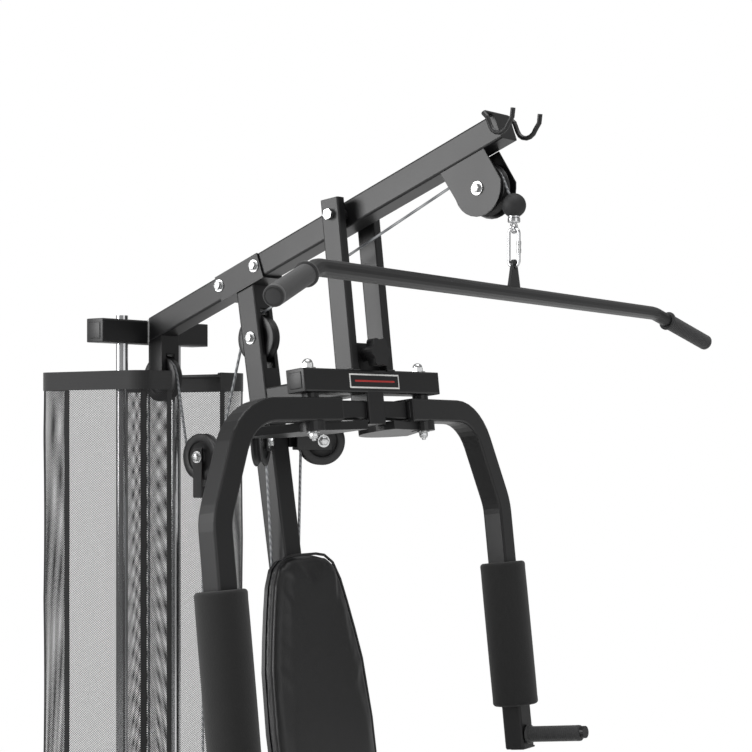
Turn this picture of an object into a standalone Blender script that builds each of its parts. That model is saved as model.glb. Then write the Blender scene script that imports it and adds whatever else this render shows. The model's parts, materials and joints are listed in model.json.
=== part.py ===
"""Home multi-gym: an inclined mast and a rising boom over one weight stack.

Metres, +Z up, floor at Z = 0.  The user sits on the -Y side and faces -Y, the weight
stack stands on the +Y side, and X is left (-) to right (+) across the machine.
"""
import math

import bmesh
import bpy
import numpy as np
from mathutils import Matrix, Vector

for leftover in list(bpy.data.objects):
    bpy.data.objects.remove(leftover, do_unlink=True)

# ---------------------------------------------------------------- driving sizes
FIT = 0.0003                    # gap between pieces that touch
RUN = 0.0015                    # clearance beside a turning or sliding piece
TUBE = 0.050                    # square frame tube
WALL = 0.0025                   # frame tube wall
ARM_TUBE = 0.045                # square tube of the press arm
CORNER = 0.004                  # outer corner radius of the square tubes
PLATE = 0.004                   # bracket plate
THIN_PLATE = 0.0025             # cheek beside the stop ball
WELD = 0.0055                   # how far a welded piece runs into its neighbour

MAST_LEAN = math.radians(9.15)  # top leans to the rear
MAST_FOOT_Y = -0.2385           # front face of the mast where it meets the base beam
BOOM_SLOPE = math.radians(20.5)
BOOM_FRONT_Y = -0.567           # lower front corner of the boom
BOOM_REAR_Z = 1.7085            # underside of the boom at the rear crossbar
STACK_FRONT_Y = 0.3514          # front face of the rear crossbar and of the rear foot
CROSSBAR_HALF = 0.152
CROSSBAR_DROP = 0.003           # crossbar underside below the boom underside

ROD_R = 0.0125
ROD_X = 0.078
ROD_TIP = 0.009                 # rod end above the crossbar
ROD_FIT = 0.0005
SADDLE_HALF = 0.0625            # half length of the saddle bracket along the boom
STUB_DEPTH = 0.040
STUB_LOW = 0.016                # stub below the axle of the rear pulley

PULLEY_R = 0.049
PULLEY_W = 0.022
GROOVE_DEPTH = 0.012
GROOVE_R = PULLEY_R - GROOVE_DEPTH / 2   # centre line of the cable on a pulley
BORE_R = 0.0052
CABLE_R = 0.0028

PIVOT_Y = -0.191                # press arm pivot, through the middle of the boom
PIVOT_BOLT_R = 0.006
ARM_LEAN = math.radians(6.65)   # the hanging press arm leans like this at rest
HANGER_X = 0.0525               # middle of each flat hanger tube
HANGER_T = 0.021
HANGER_RISE = 0.031             # hanger above the pivot
BOX_TOP = 0.3034                # arm crossbar, measured down the hangers from the pivot
BOX_HALF = 0.202
ARM_GAP = 0.0095                # spacer between the arm crossbar and a swinging arm
SWING_X = 0.167                 # upright pivots of the swinging arms
SWING_REST = math.radians(4.7)  # arms rest swung back by this much
ARM_INNER_X = 0.107
ARM_BEND_X = 0.275              # where the arm starts to bend down
ARM_BEND_R = 0.105
ARM_SPLAY = math.radians(23.0)  # slanted run from upright
ARM_SLANT = 0.120
ARM_BEND2_R = 0.100
ARM_END = 1.085                 # arm end, measured down from the pivot
CAM_R = 0.130
CAM_T = 0.016
CAM_START = 48.0                # cam sector, in degrees from outward towards the rear
CAM_END = 188.0
STOP_HALF = 0.098               # stop bar through the block between the swinging arms
STOP_HEIGHT = 0.036
STOP_DEPTH = 0.030
BLOCK_DROP = 0.060              # block below the arm crossbar
LOCK_PIN_R = 0.005
LOCK_RISE = 0.032               # locking pin above the arm crossbar
KNOB_R = 0.030
FOAM_R = 0.0475
FOAM_TOP = 0.697
FOAM_LENGTH = 0.300
GRIP_R = 0.0165
GRIP_WALL = 0.004
GRIP_LENGTH = 0.125
GRIP_DROP = 0.060               # press handle below the foam roller

FRONT_PULLEY_Y = -0.513
FRONT_PULLEY_Z = 2.014 - PULLEY_R   # top of the pulley stays this far under the boom
MAST_PULLEY_Z = 1.709
REAR_PULLEY_Z = 1.632
FLOAT_TAIL = PULLEY_R + 0.036   # length of a floating bracket beyond its axle
LOW_FLOAT = (1.5 * TUBE + 3 * PULLEY_R - 0.252, 0.620)   # its cable and base pulley clear the mast
FLOAT_PULLEY = (LOW_FLOAT[0] + 3 * GROOVE_R + 2 * PULLEY_R + 0.017, 1.466)   # base pulleys clear each other
LOW_FLOAT_TAIL = PULLEY_R + 0.026
PASSAGE_R = 0.007               # hole that lets the lower cable through an upright
BALL_R = TUBE / 2 - THIN_PLATE - FIT
BALL_GAP = 0.00127              # the stop ball is drawn up against the front pulley
BALL_FALL = math.radians(27.98) # below a level line in front of the axle
BALL_REACH = PULLEY_R + BALL_R + BALL_GAP
BALL_Z = FRONT_PULLEY_Z - BALL_REACH * math.sin(BALL_FALL)
LINE_Y = FRONT_PULLEY_Y - BALL_REACH * math.cos(BALL_FALL)   # hanging line of the lat bar
EYE_R = 0.009
EYE_WIRE_R = 0.0025
CLIP_R = 0.003                  # wire of the carabiner
CLIP_HALF = 0.011
BAR_Z = 1.770
BAR_R = 0.014
BAR_YAW = math.radians(7.7)     # the bar hangs a little turned about the cable
BAR_ROLL = math.radians(39.0)   # its bent ends point down and to the front
BAR_STRAIGHT = 0.650
BAR_BEND = math.radians(22.0)
BAR_END_RUN = 0.185
LAT_GRIP_R = 0.0165
LAT_GRIP_LENGTH = 0.150
TAB_HOLE = 0.036                # hole of the bar's tab above the bar
HOOK_WIRE_R = 0.0045

SWIVEL_X = TUBE / 2 + 0.065
SWIVEL_Y = -0.035
SWIVEL_Z = 1.500
SWIVEL_STRAP = 0.036

SHROUD_HALF = 0.160
SHROUD_FRONT_Y = 0.233
SHROUD_REAR_Y = 0.552
SHROUD_TOP = 1.645
SHROUD_BOTTOM = 0.120
SHROUD_T = 0.003
SHROUD_GAP = 0.144              # open slot at the front and at the back
SHROUD_CORNER = 0.030

WEIGHT_HALF_X = 0.130
WEIGHT_HALF_Y = 0.050
WEIGHT_T = 0.032
WEIGHT_PITCH = 0.0325
LOWER_WEIGHTS = 5
STEM_R = 0.010
STEM_RISE = 0.075               # stem above the underside of the top plate
TOP_PLATE_T = 0.030
PIN_R = 0.0045
STACK_LIFT = 0.030              # lowest weight above the rear foot

BACK_PAD_TOP = 1.272
BACK_PAD_LENGTH = 0.640
BACK_PAD_T = 0.046
SEAT_TOP = 0.500
SEAT_T = 0.060
SEAT_LENGTH = 0.390
SEAT_HALF = 0.165
POST_Y = -0.490                 # middle of the seat post
FOOT_HALF = 0.300
FRONT_FOOT_Y = -0.780           # middle of the front foot
LEVER_Y = -0.690                # leg lever pivot
LEVER_Z = 0.385
LEVER_LENGTH = 0.270
LEVER_TUBE = 0.038
ROLLER_BAR_R = 0.0125
LEG_FOAM_R = 0.045
LEG_FOAM_LENGTH = 0.160

# ---------------------------------------------------------------- derived places
BOOM_HEIGHT = TUBE / math.cos(BOOM_SLOPE)
CROSSBAR_Z = BOOM_REAR_Z - CROSSBAR_DROP
STACK_Y = STACK_FRONT_Y + TUBE / 2
X_AXIS = Vector((1, 0, 0))
Y_AXIS = Vector((0, 1, 0))
Z_AXIS = Vector((0, 0, 1))


def boom_under(y):
    return BOOM_REAR_Z + math.tan(BOOM_SLOPE) * (STACK_FRONT_Y - y)


def mast_front(z):
    return MAST_FOOT_Y + math.tan(MAST_LEAN) * (z - TUBE)


def mast_mid(z):
    return mast_front(z) + TUBE / math.cos(MAST_LEAN) / 2


PIVOT = Vector((0, PIVOT_Y, boom_under(PIVOT_Y) + BOOM_HEIGHT / 2))
ARM_DOWN = Vector((0, -math.sin(ARM_LEAN), -math.cos(ARM_LEAN)))
ARM_FRONT = Vector((0, -math.cos(ARM_LEAN), math.sin(ARM_LEAN)))
BOX_BOTTOM = BOX_TOP + ARM_TUBE
ARM_MID = BOX_BOTTOM + ARM_GAP + ARM_TUBE / 2
REAR_PULLEY_Y = STACK_Y - GROOVE_R
SEAT_UNDER = SEAT_TOP - SEAT_T
BEAM_TOP = SEAT_UNDER - FIT
SEAT_REAR = mast_front(SEAT_TOP) - BACK_PAD_T - 0.012
SADDLE_DROP = PLATE / math.cos(BOOM_SLOPE) + FIT
BASE_PULLEY_Z = TUBE + PULLEY_R + 0.006
LOW_FLOAT_TOP = LOW_FLOAT[1] + LOW_FLOAT_TAIL
CAM_CABLE_R = CAM_R + CABLE_R + RUN
CAM_CABLE_DOWN = ARM_MID + ARM_TUBE / 2 + CAM_T / 2
HANDLE_DOWN = FOAM_TOP + FOAM_LENGTH + GRIP_DROP


# ---------------------------------------------------------------- materials
def material(name, colour, rough, metal=0.0):
    found = bpy.data.materials.get(name)
    if found:
        return found
    made = bpy.data.materials.new(name)
    made.use_nodes = True
    shader = made.node_tree.nodes["Principled BSDF"]
    shader.inputs["Base Color"].default_value = (*colour, 1.0)
    shader.inputs["Roughness"].default_value = rough
    shader.inputs["Metallic"].default_value = metal
    return made


FRAME = ("frame_paint", (0.022, 0.022, 0.024), 0.42, 0.0)
STEEL = ("bright_steel", (0.62, 0.62, 0.62), 0.25, 1.0)
ZINC = ("zinc_steel", (0.55, 0.55, 0.56), 0.35, 1.0)
NYLON = ("black_nylon", (0.020, 0.020, 0.021), 0.45, 0.0)
FOAM = ("foam_rubber", (0.018, 0.018, 0.019), 0.85, 0.0)
VINYL = ("black_vinyl", (0.016, 0.016, 0.018), 0.50, 0.0)
MESH = ("black_mesh", (0.030, 0.030, 0.030), 0.80, 0.0)
CABLE = ("cable_sleeve", (0.33, 0.33, 0.34), 0.40, 0.0)
IRON = ("weight_iron", (0.035, 0.035, 0.037), 0.50, 0.0)


# ---------------------------------------------------------------- mesh helpers
def finish_mesh(name, bm, look, smooth=False):
    bmesh.ops.recalc_face_normals(bm, faces=bm.faces)
    mesh = bpy.data.meshes.new(name)
    bm.to_mesh(mesh)
    bm.free()
    obj = bpy.data.objects.new(name, mesh)
    bpy.context.scene.collection.objects.link(obj)
    mesh.materials.append(material(*look))
    if smooth:
        mesh.shade_smooth()
        mesh.set_sharp_from_angle(angle=math.radians(35))
    return obj


def bridge(bm, first, second):
    count = len(first)
    for i in range(count):
        j = (i + 1) % count
        bm.faces.new((first[i], first[j], second[j], second[i]))


def loft(name, rings, look, closed=False, smooth=False):
    """Skin a list of equal rings of points, with flat ends unless it closes on itself."""
    bm = bmesh.new()
    rows = [[bm.verts.new(point) for point in ring] for ring in rings]
    for first, second in zip(rows, rows[1:]):
        bridge(bm, first, second)
    if closed:
        bridge(bm, rows[-1], rows[0])
    else:
        bm.faces.new(rows[0][::-1])
        bm.faces.new(rows[-1])
    return finish_mesh(name, bm, look, smooth)


def prism(name, outline, low, high, axis, look):
    """Extrude a closed outline along X, Y or Z; the outline gives the other two in order."""
    def point(pair, along):
        if axis == "X":
            return Vector((along, pair[0], pair[1]))
        if axis == "Y":
            return Vector((pair[0], along, pair[1]))
        return Vector((pair[0], pair[1], along))
    rings = [[point(pair, along) for pair in outline] for along in (low, high)]
    return loft(name, rings, look)


def box(name, low, high, look):
    outline = [(low[0], low[1]), (high[0], low[1]), (high[0], high[1]), (low[0], high[1])]
    return prism(name, outline, low[2], high[2], "Z", look)


def rounded(width, height, radius, steps=3):
    """Rectangle outline about the origin with round corners."""
    points = []
    for cx, cy, start in ((1, 1, 0), (-1, 1, 90), (-1, -1, 180), (1, -1, 270)):
        for k in range(steps):
            angle = math.radians(start + 90 * k / (steps - 1))
            x = cx * (width / 2 - radius) + radius * math.cos(angle)
            y = cy * (height / 2 - radius) + radius * math.sin(angle)
            points.append((x, y))
    return points


def circle(radius, count):
    return [(radius * math.cos(math.tau * k / count), radius * math.sin(math.tau * k / count))
            for k in range(count)]


def section_ring(centre, across, up, outline):
    return [centre + across * a + up * b for a, b in outline]


def path_frames(path, across):
    """Centre, side axis and mitred up axis of each point of a path with a fixed side axis."""
    frames = []
    for i, centre in enumerate(path):
        before = (path[i] - path[i - 1]).normalized() if i else None
        after = (path[i + 1] - path[i]).normalized() if i + 1 < len(path) else None
        run = ((before or after) + (after or before)).normalized()
        up = run.cross(across).normalized()
        stretch = 1.0 / max(0.5, run.dot(before or after))
        frames.append((centre, across, up * stretch))
    return frames


def sweep(name, path, across, outline, look, smooth=False):
    rings = [section_ring(c, a, u, outline) for c, a, u in path_frames(path, across)]
    return loft(name, rings, look, smooth=smooth)


def square_tube(name, path, across, width, height, wall, look, ends=(True, True)):
    """Square tube along a path, open at the ends marked True."""
    shell = sweep(name, path, across, rounded(width, height, CORNER), look)
    inner = list(path)
    start = (path[1] - path[0]).normalized()
    finish = (path[-1] - path[-2]).normalized()
    inner[0] = path[0] - start * 0.01 if ends[0] else path[0] + start * wall
    inner[-1] = path[-1] + finish * 0.01 if ends[1] else path[-1] - finish * wall
    bore = rounded(width - 2 * wall, height - 2 * wall, CORNER - wall, 2)
    core = sweep(name + "_core", inner, across, bore, look)
    return boolean(shell, core, "DIFFERENCE")


def rod(name, start, end, radius, look, count=24, smooth=True):
    run = (end - start).normalized()
    across = run.orthogonal().normalized()
    up = run.cross(across)
    rings = [section_ring(c, across, up, circle(radius, count)) for c in (start, end)]
    return loft(name, rings, look, smooth=smooth)


def turned(name, centre, axis, profile, look, count=32):
    """Closed (radius, along) profile turned about an axis; it must not touch the axis."""
    axis = axis.normalized()
    across = axis.orthogonal().normalized()
    other = axis.cross(across)
    rings = []
    for k in range(count):
        angle = math.tau * k / count
        side = across * math.cos(angle) + other * math.sin(angle)
        rings.append([centre + side * r + axis * z for r, z in profile])
    return loft(name, rings, look, closed=True, smooth=True)


def boolean(target, other, kind):
    """Apply a Boolean to the target and remove the other object."""
    modifier = target.modifiers.new("cut", "BOOLEAN")
    modifier.operation = kind
    modifier.solver = "EXACT"
    modifier.object = other
    graph = bpy.context.evaluated_depsgraph_get()
    mesh = bpy.data.meshes.new_from_object(target.evaluated_get(graph))
    target.modifiers.clear()
    target.data = mesh
    bpy.data.objects.remove(other, do_unlink=True)
    return target


def fuse(target, *others):
    for other in others:
        boolean(target, other, "UNION")
    return target


def cut(target, *others):
    for other in others:
        boolean(target, other, "DIFFERENCE")
    return target


def arc(centre, radius, start, end, count):
    return [(centre[0] + radius * math.cos(start + (end - start) * k / count),
             centre[1] + radius * math.sin(start + (end - start) * k / count))
            for k in range(count + 1)]


def on_axis(obj, pivot):
    """Put an object's origin on its joint without moving its shape."""
    obj.data.transform(Matrix.Translation(-pivot))
    obj.location = pivot
    return obj


def mirror_name(side):
    return "left" if side < 0 else "right"


# ---------------------------------------------------------------- frame
def cable_passage(y):
    """Cutter that lets the lower cable through an upright standing on the base beam."""
    z = BASE_PULLEY_Z - GROOVE_R
    return rod("passage", Vector((0, y - TUBE, z)), Vector((0, y + TUBE, z)), PASSAGE_R, FRAME, 16)


def build_base():
    rear_foot = square_tube("rear_foot",
                            [Vector((side * FOOT_HALF, STACK_Y, TUBE / 2)) for side in (-1, 1)],
                            Y_AXIS, TUBE, TUBE, WALL, FRAME)
    front_foot = square_tube("front_foot",
                             [Vector((-FOOT_HALF, FRONT_FOOT_Y, TUBE / 2)),
                              Vector((FOOT_HALF, FRONT_FOOT_Y, TUBE / 2))],
                             Y_AXIS, TUBE, TUBE, WALL, FRAME)
    beam = square_tube("base_beam",
                       [Vector((0, FRONT_FOOT_Y + TUBE / 2 + FIT, TUBE / 2)),
                        Vector((0, STACK_FRONT_Y - FIT, TUBE / 2))],
                       X_AXIS, TUBE, TUBE, WALL, FRAME)
    inner = PULLEY_W / 2 + RUN
    for y in low_pulley_places().values():
        for side in (-1, 1):
            edges = sorted((side * inner, side * (inner + PLATE)))
            outline = [(y - 0.030, TUBE - WALL / 2), (y + 0.030, TUBE - WALL / 2)]
            outline += arc((y, BASE_PULLEY_Z), 0.020, 0, math.pi, 6)
            fuse(beam, prism("cheek", outline, edges[0], edges[1], "X", FRAME))
        hole = rod("hole", Vector((-0.04, y, BASE_PULLEY_Z)), Vector((0.04, y, BASE_PULLEY_Z)),
                   BORE_R, FRAME, 12)
        cut(beam, hole)
    return rear_foot, front_foot, beam


def low_pulley_places():
    """Middle of each pulley that stands on the base beam."""
    return {
        "pulley_low_front": LEVER_Y + 0.095,
        "pulley_base_front": LOW_FLOAT[0] - 2 * GROOVE_R,
        "pulley_base_middle": LOW_FLOAT[0] + 2 * GROOVE_R,
        "pulley_base_rear": FLOAT_PULLEY[0] - GROOVE_R,
    }


def stop_beam():
    """Tube from the front of the mast that the hanging press arm leans back against."""
    down = BOX_TOP + ARM_TUBE / 2
    front = arm_point(0, down, -ARM_TUBE / 2 - RUN)
    beam = square_tube("stop_beam", [front - ARM_FRONT * 0.3, front], X_AXIS, ARM_TUBE, ARM_TUBE, WALL, FRAME)
    z0, z1 = front.z - 0.2, front.z + 0.2
    inside = [(mast_front(z0) + WALL / 2, z0), (0.5, z0), (0.5, z1), (mast_front(z1) + WALL / 2, z1)]
    return cut(beam, prism("inside", inside, -0.1, 0.1, "X", FRAME))


def build_mast():
    foot_z = TUBE + FIT
    up = Vector((0, math.sin(MAST_LEAN), math.cos(MAST_LEAN)))
    foot = Vector((0, mast_mid(foot_z), foot_z))
    length = 2.2
    mast = square_tube("mast", [foot - up * 0.05, foot + up * length], X_AXIS, TUBE, TUBE, WALL, FRAME)
    floor_cut = box("floor_cut", (-0.1, -0.6, -0.3), (0.1, 0.3, foot_z), FRAME)
    top = SADDLE_DROP + FIT
    y0, y1 = -0.4, 0.6
    over = [(y0, boom_under(y0) - top), (y1, boom_under(y1) - top), (y1, 3.0), (y0, 3.0)]
    roof_cut = prism("roof_cut", over, -0.1, 0.1, "X", FRAME)
    slot_half = PULLEY_W / 2 + RUN
    slot = box("slot", (-slot_half, -0.2, MAST_PULLEY_Z - PULLEY_R - 0.012),
               (slot_half, 0.3, MAST_PULLEY_Z + PULLEY_R + 0.012), FRAME)
    cut(mast, floor_cut, roof_cut, slot)
    axle = Vector((0, mast_mid(MAST_PULLEY_Z), MAST_PULLEY_Z))
    cut(mast, rod("axle", axle - X_AXIS * 0.05, axle + X_AXIS * 0.05, BORE_R, FRAME, 16))
    fuse(mast, stop_beam())
    return cut(mast, cable_passage(mast_mid(foot_z)))


def build_boom():
    slope = Vector((0, -math.cos(BOOM_SLOPE), math.sin(BOOM_SLOPE)))
    lift = Vector((0, math.sin(BOOM_SLOPE), math.cos(BOOM_SLOPE))) * TUBE / 2
    front = Vector((0, BOOM_FRONT_Y, boom_under(BOOM_FRONT_Y))) + lift
    rear = Vector((0, STACK_FRONT_Y, boom_under(STACK_FRONT_Y))) + lift
    boom = square_tube("boom", [rear - slope * 0.06, front], X_AXIS, TUBE, TUBE, WALL, FRAME,
                       ends=(True, False))
    cut(boom, box("rear_cut", (-0.1, STACK_FRONT_Y - FIT, 1.0), (0.1, 1.0, 3.0), FRAME))
    cut(boom, rod("pivot_hole", PIVOT - X_AXIS * 0.06, PIVOT + X_AXIS * 0.06,
                  PIVOT_BOLT_R + FIT, FRAME, 16))
    return boom


def build_saddle():
    """U plate round the boom on top of the mast."""
    y = mast_mid(boom_under(0.0))
    along = Vector((0, -math.cos(BOOM_SLOPE), math.sin(BOOM_SLOPE)))
    normal = Vector((0, math.sin(BOOM_SLOPE), math.cos(BOOM_SLOPE)))
    base = Vector((0, y, boom_under(y)))

    def slab(name, x0, x1, reach, low, high):
        corners = [(-reach, low), (reach, low), (reach, high), (-reach, high)]
        rings = [[base + along * a + normal * b + X_AXIS * x for a, b in corners] for x in (x0, x1)]
        return loft(name, rings, FRAME)

    half = TUBE / 2 + FIT
    saddle = slab("saddle_bracket", -half - PLATE, half + PLATE, SADDLE_HALF, -PLATE - FIT, TUBE - 0.0005)
    return cut(saddle, slab("gap", -half, half, SADDLE_HALF + 0.01, -FIT, TUBE + 0.02))


def build_crossbar():
    z = CROSSBAR_Z + TUBE / 2
    bar = square_tube("rear_crossbar", [Vector((side * CROSSBAR_HALF, STACK_Y, z)) for side in (-1, 1)],
                      Y_AXIS, TUBE, TUBE, WALL, FRAME)
    for side in (-1, 1):
        x = side * ROD_X
        cut(bar, rod("rod_hole", Vector((x, STACK_Y, z - TUBE)), Vector((x, STACK_Y, z + TUBE)),
                     ROD_R + ROD_FIT, FRAME, 16))
    return bar


def build_rods():
    for side in (-1, 1):
        x = side * ROD_X
        top = CROSSBAR_Z + TUBE + ROD_TIP
        rod("guide_rod_" + mirror_name(side), Vector((x, STACK_Y, TUBE + FIT)), Vector((x, STACK_Y, top)),
            ROD_R, STEEL)


def build_stub():
    """Short tube under the rear of the boom; its side walls carry the rear pulley."""
    y0 = STACK_FRONT_Y - FIT - STUB_DEPTH
    y1 = STACK_FRONT_Y - FIT
    low = REAR_PULLEY_Z - STUB_LOW
    high = boom_under(y0) + 0.02
    outline = [(y0, low), (y1, low), (y1, high), (y0, high)]
    stub = prism("pulley_stub", outline, -TUBE / 2, TUBE / 2, "X", FRAME)
    inner = TUBE / 2 - PLATE
    core = prism("core", [(y0 + WALL, low - 0.01), (y1 - WALL, low - 0.01), (y1 - WALL, high + 0.01),
                          (y0 + WALL, high + 0.01)], -inner, inner, "X", FRAME)
    top = [(y0 - 0.1, boom_under(y0 - 0.1) - FIT), (y1 + 0.1, boom_under(y1 + 0.1) - FIT),
           (y1 + 0.1, high + 0.3), (y0 - 0.1, high + 0.3)]
    slot_half = PULLEY_W / 2 + RUN
    slot = box("slot", (-slot_half, y0 - 0.1, low - 0.1),
               (slot_half, y1 + 0.1, REAR_PULLEY_Z + PULLEY_R + 0.004), FRAME)
    cut(stub, core, prism("top", top, -0.1, 0.1, "X", FRAME), slot)
    axle = Vector((0, REAR_PULLEY_Y, REAR_PULLEY_Z))
    return cut(stub, rod("axle", axle - X_AXIS * 0.05, axle + X_AXIS * 0.05, BORE_R, FRAME, 16))


# ---------------------------------------------------------------- pulleys and brackets
def build_pulley(name, centre, axis=X_AXIS):
    half = PULLEY_W / 2
    profile = [(BORE_R, -half), (PULLEY_R, -half + 0.002), (PULLEY_R - GROOVE_DEPTH, 0.0),
               (PULLEY_R, half - 0.002), (BORE_R, half)]
    return on_axis(turned(name, centre, axis, profile, NYLON, 24), centre)


def build_pulleys():
    build_pulley("pulley_front", Vector((0, FRONT_PULLEY_Y, FRONT_PULLEY_Z)))
    build_pulley("pulley_mast", Vector((0, mast_mid(MAST_PULLEY_Z), MAST_PULLEY_Z)))
    build_pulley("pulley_rear", Vector((0, REAR_PULLEY_Y, REAR_PULLEY_Z)))
    build_pulley("pulley_float_upper", Vector((0, *FLOAT_PULLEY)))
    build_pulley("pulley_float_lower", Vector((0, *LOW_FLOAT)))
    for name, y in low_pulley_places().items():
        build_pulley(name, Vector((0, y, BASE_PULLEY_Z)))
    for side in (-1, 1):
        build_pulley("pulley_swivel_" + mirror_name(side), swivel_centre(side), swivel_axis(side))


def swivel_centre(side):
    return Vector((side * SWIVEL_X, SWIVEL_Y, SWIVEL_Z))


def swivel_run(side):
    """Level direction from a swivel pulley to where its cable leaves the rim of the cam."""
    centre = swivel_centre(side)
    cam = arm_point(side * SWING_X, CAM_CABLE_DOWN)
    gap = Vector((cam.x - centre.x, cam.y - centre.y, 0))
    turn = math.asin(CAM_CABLE_R / gap.length)
    return (Matrix.Rotation(side * turn, 3, "Z") @ gap).normalized()


def swivel_axis(side):
    return swivel_run(side).cross(Z_AXIS) * -side


def build_front_bracket():
    """Two cheek plates under the front of the boom, tied by a spacer bar."""
    normal = Vector((0, math.sin(BOOM_SLOPE), math.cos(BOOM_SLOPE)))
    y_rear = FRONT_PULLEY_Y + 0.085
    y_front = FRONT_PULLEY_Y - 0.014
    cheek_r = PULLEY_R + 0.003
    outline = [(y_front, boom_under(y_front) - FIT), (FRONT_PULLEY_Y - cheek_r, FRONT_PULLEY_Z + 0.012)]
    outline += arc((FRONT_PULLEY_Y, FRONT_PULLEY_Z), cheek_r, math.pi, math.tau - 0.35, 12)
    outline += [(y_rear, boom_under(y_rear) - FIT)]
    outer = TUBE / 2
    bracket = prism("front_pulley_bracket", outline, -outer, -outer + THIN_PLATE, "X", FRAME)
    fuse(bracket, prism("cheek", outline, outer - THIN_PLATE, outer, "X", FRAME))
    tie_y = y_rear - 0.012
    tie_z = boom_under(tie_y) - FIT - 0.010
    inset = outer - THIN_PLATE / 2
    tie = rod("tie", Vector((-inset, tie_y, tie_z)), Vector((inset, tie_y, tie_z)),
              0.006, FRAME, 16)
    fuse(bracket, tie)
    axle = Vector((0, FRONT_PULLEY_Y, FRONT_PULLEY_Z))
    return cut(bracket, rod("axle", axle - X_AXIS * 0.05, axle + X_AXIS * 0.05, BORE_R, FRAME, 16))


def build_float_bracket(name, centre, tail):
    """Two straps round a pulley that meet in a block where the other cable ends."""
    y, z = centre
    inner = PULLEY_W / 2 + RUN
    end = z + tail
    block = 0.024 * (1 if tail > 0 else -1)
    low, high = sorted((z - 0.018 * (1 if tail > 0 else -1), end))
    half = 0.0125
    strap = [(y - half, low), (y + half, low), (y + half, high), (y - half, high)]
    bracket = prism(name, strap, -inner - PLATE, -inner, "X", FRAME)
    other = prism("strap", strap, inner, inner + PLATE, "X", FRAME)
    z0, z1 = sorted((end - block, end))
    bridge_block = box("block", (-inner - PLATE / 2, y - half + 0.0005, z0),
                       (inner + PLATE / 2, y + half - 0.0005, z1 - 0.0005 if tail > 0 else z1), FRAME)
    fuse(bracket, bridge_block, other)
    axle = Vector((0, y, z))
    return cut(bracket, rod("axle", axle - X_AXIS * 0.05, axle + X_AXIS * 0.05, BORE_R, FRAME, 16))


def build_swivel_bracket(side):
    """Fork that holds a pulley at 45 degrees beside the mast."""
    centre = swivel_centre(side)
    axis = swivel_axis(side)
    run = swivel_run(side)
    inner = PULLEY_W / 2 + RUN
    name = "swivel_bracket_" + mirror_name(side)

    def slab(label, a0, a1, r0, r1, tall):
        corners = [(r0, -tall / 2), (r1, -tall / 2), (r1, tall / 2), (r0, tall / 2)]
        rings = [[centre + axis * a + run * r + Z_AXIS * z for r, z in corners] for a in (a0, a1)]
        return loft(label, rings, FRAME)

    back = -PULLEY_R - 0.006
    bracket = slab(name, -inner - PLATE, -inner, back, 0.018, SWIVEL_STRAP)
    fuse(bracket, slab("web", -inner - PLATE + 0.0005, inner + PLATE - 0.0005, back - 0.001, back + PLATE,
                       SWIVEL_STRAP - 0.001))
    fuse(bracket, slab("strap", inner, inner + PLATE, back, 0.018, SWIVEL_STRAP))
    web = centre + run * back
    x0, x1 = sorted((side * (TUBE / 2 + FIT), web.x + side * 0.004))
    lug = box("lug", (x0, web.y - 0.001, SWIVEL_Z - 0.012), (x1, web.y + 0.018, SWIVEL_Z + 0.012), FRAME)
    fuse(bracket, lug)
    return cut(bracket, rod("axle", centre - axis * 0.05, centre + axis * 0.05, BORE_R, FRAME, 16))


# ---------------------------------------------------------------- weight stack
def weight_z(index):
    """Underside of a weight; index 0 is the lowest."""
    return TUBE + STACK_LIFT + index * WEIGHT_PITCH


def drill_weight(weight, low, high):
    for side in (-1, 1):
        cut(weight, rod("hole", Vector((side * ROD_X, STACK_Y, low - 0.01)),
                        Vector((side * ROD_X, STACK_Y, high + 0.01)), ROD_R + RUN, IRON, 12))
    return weight


def plate_block(name, low, high):
    outline = [(a, b + STACK_Y) for a, b in rounded(2 * WEIGHT_HALF_X, 2 * WEIGHT_HALF_Y, 0.010)]
    return prism(name, outline, low, high, "Z", IRON)


def pin_slot(z):
    return rod("pin_slot", Vector((0, STACK_Y - WEIGHT_HALF_Y - 0.02, z)), Vector((0, STACK_Y + 0.02, z)),
               PIN_R + 0.001, IRON, 8)


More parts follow.
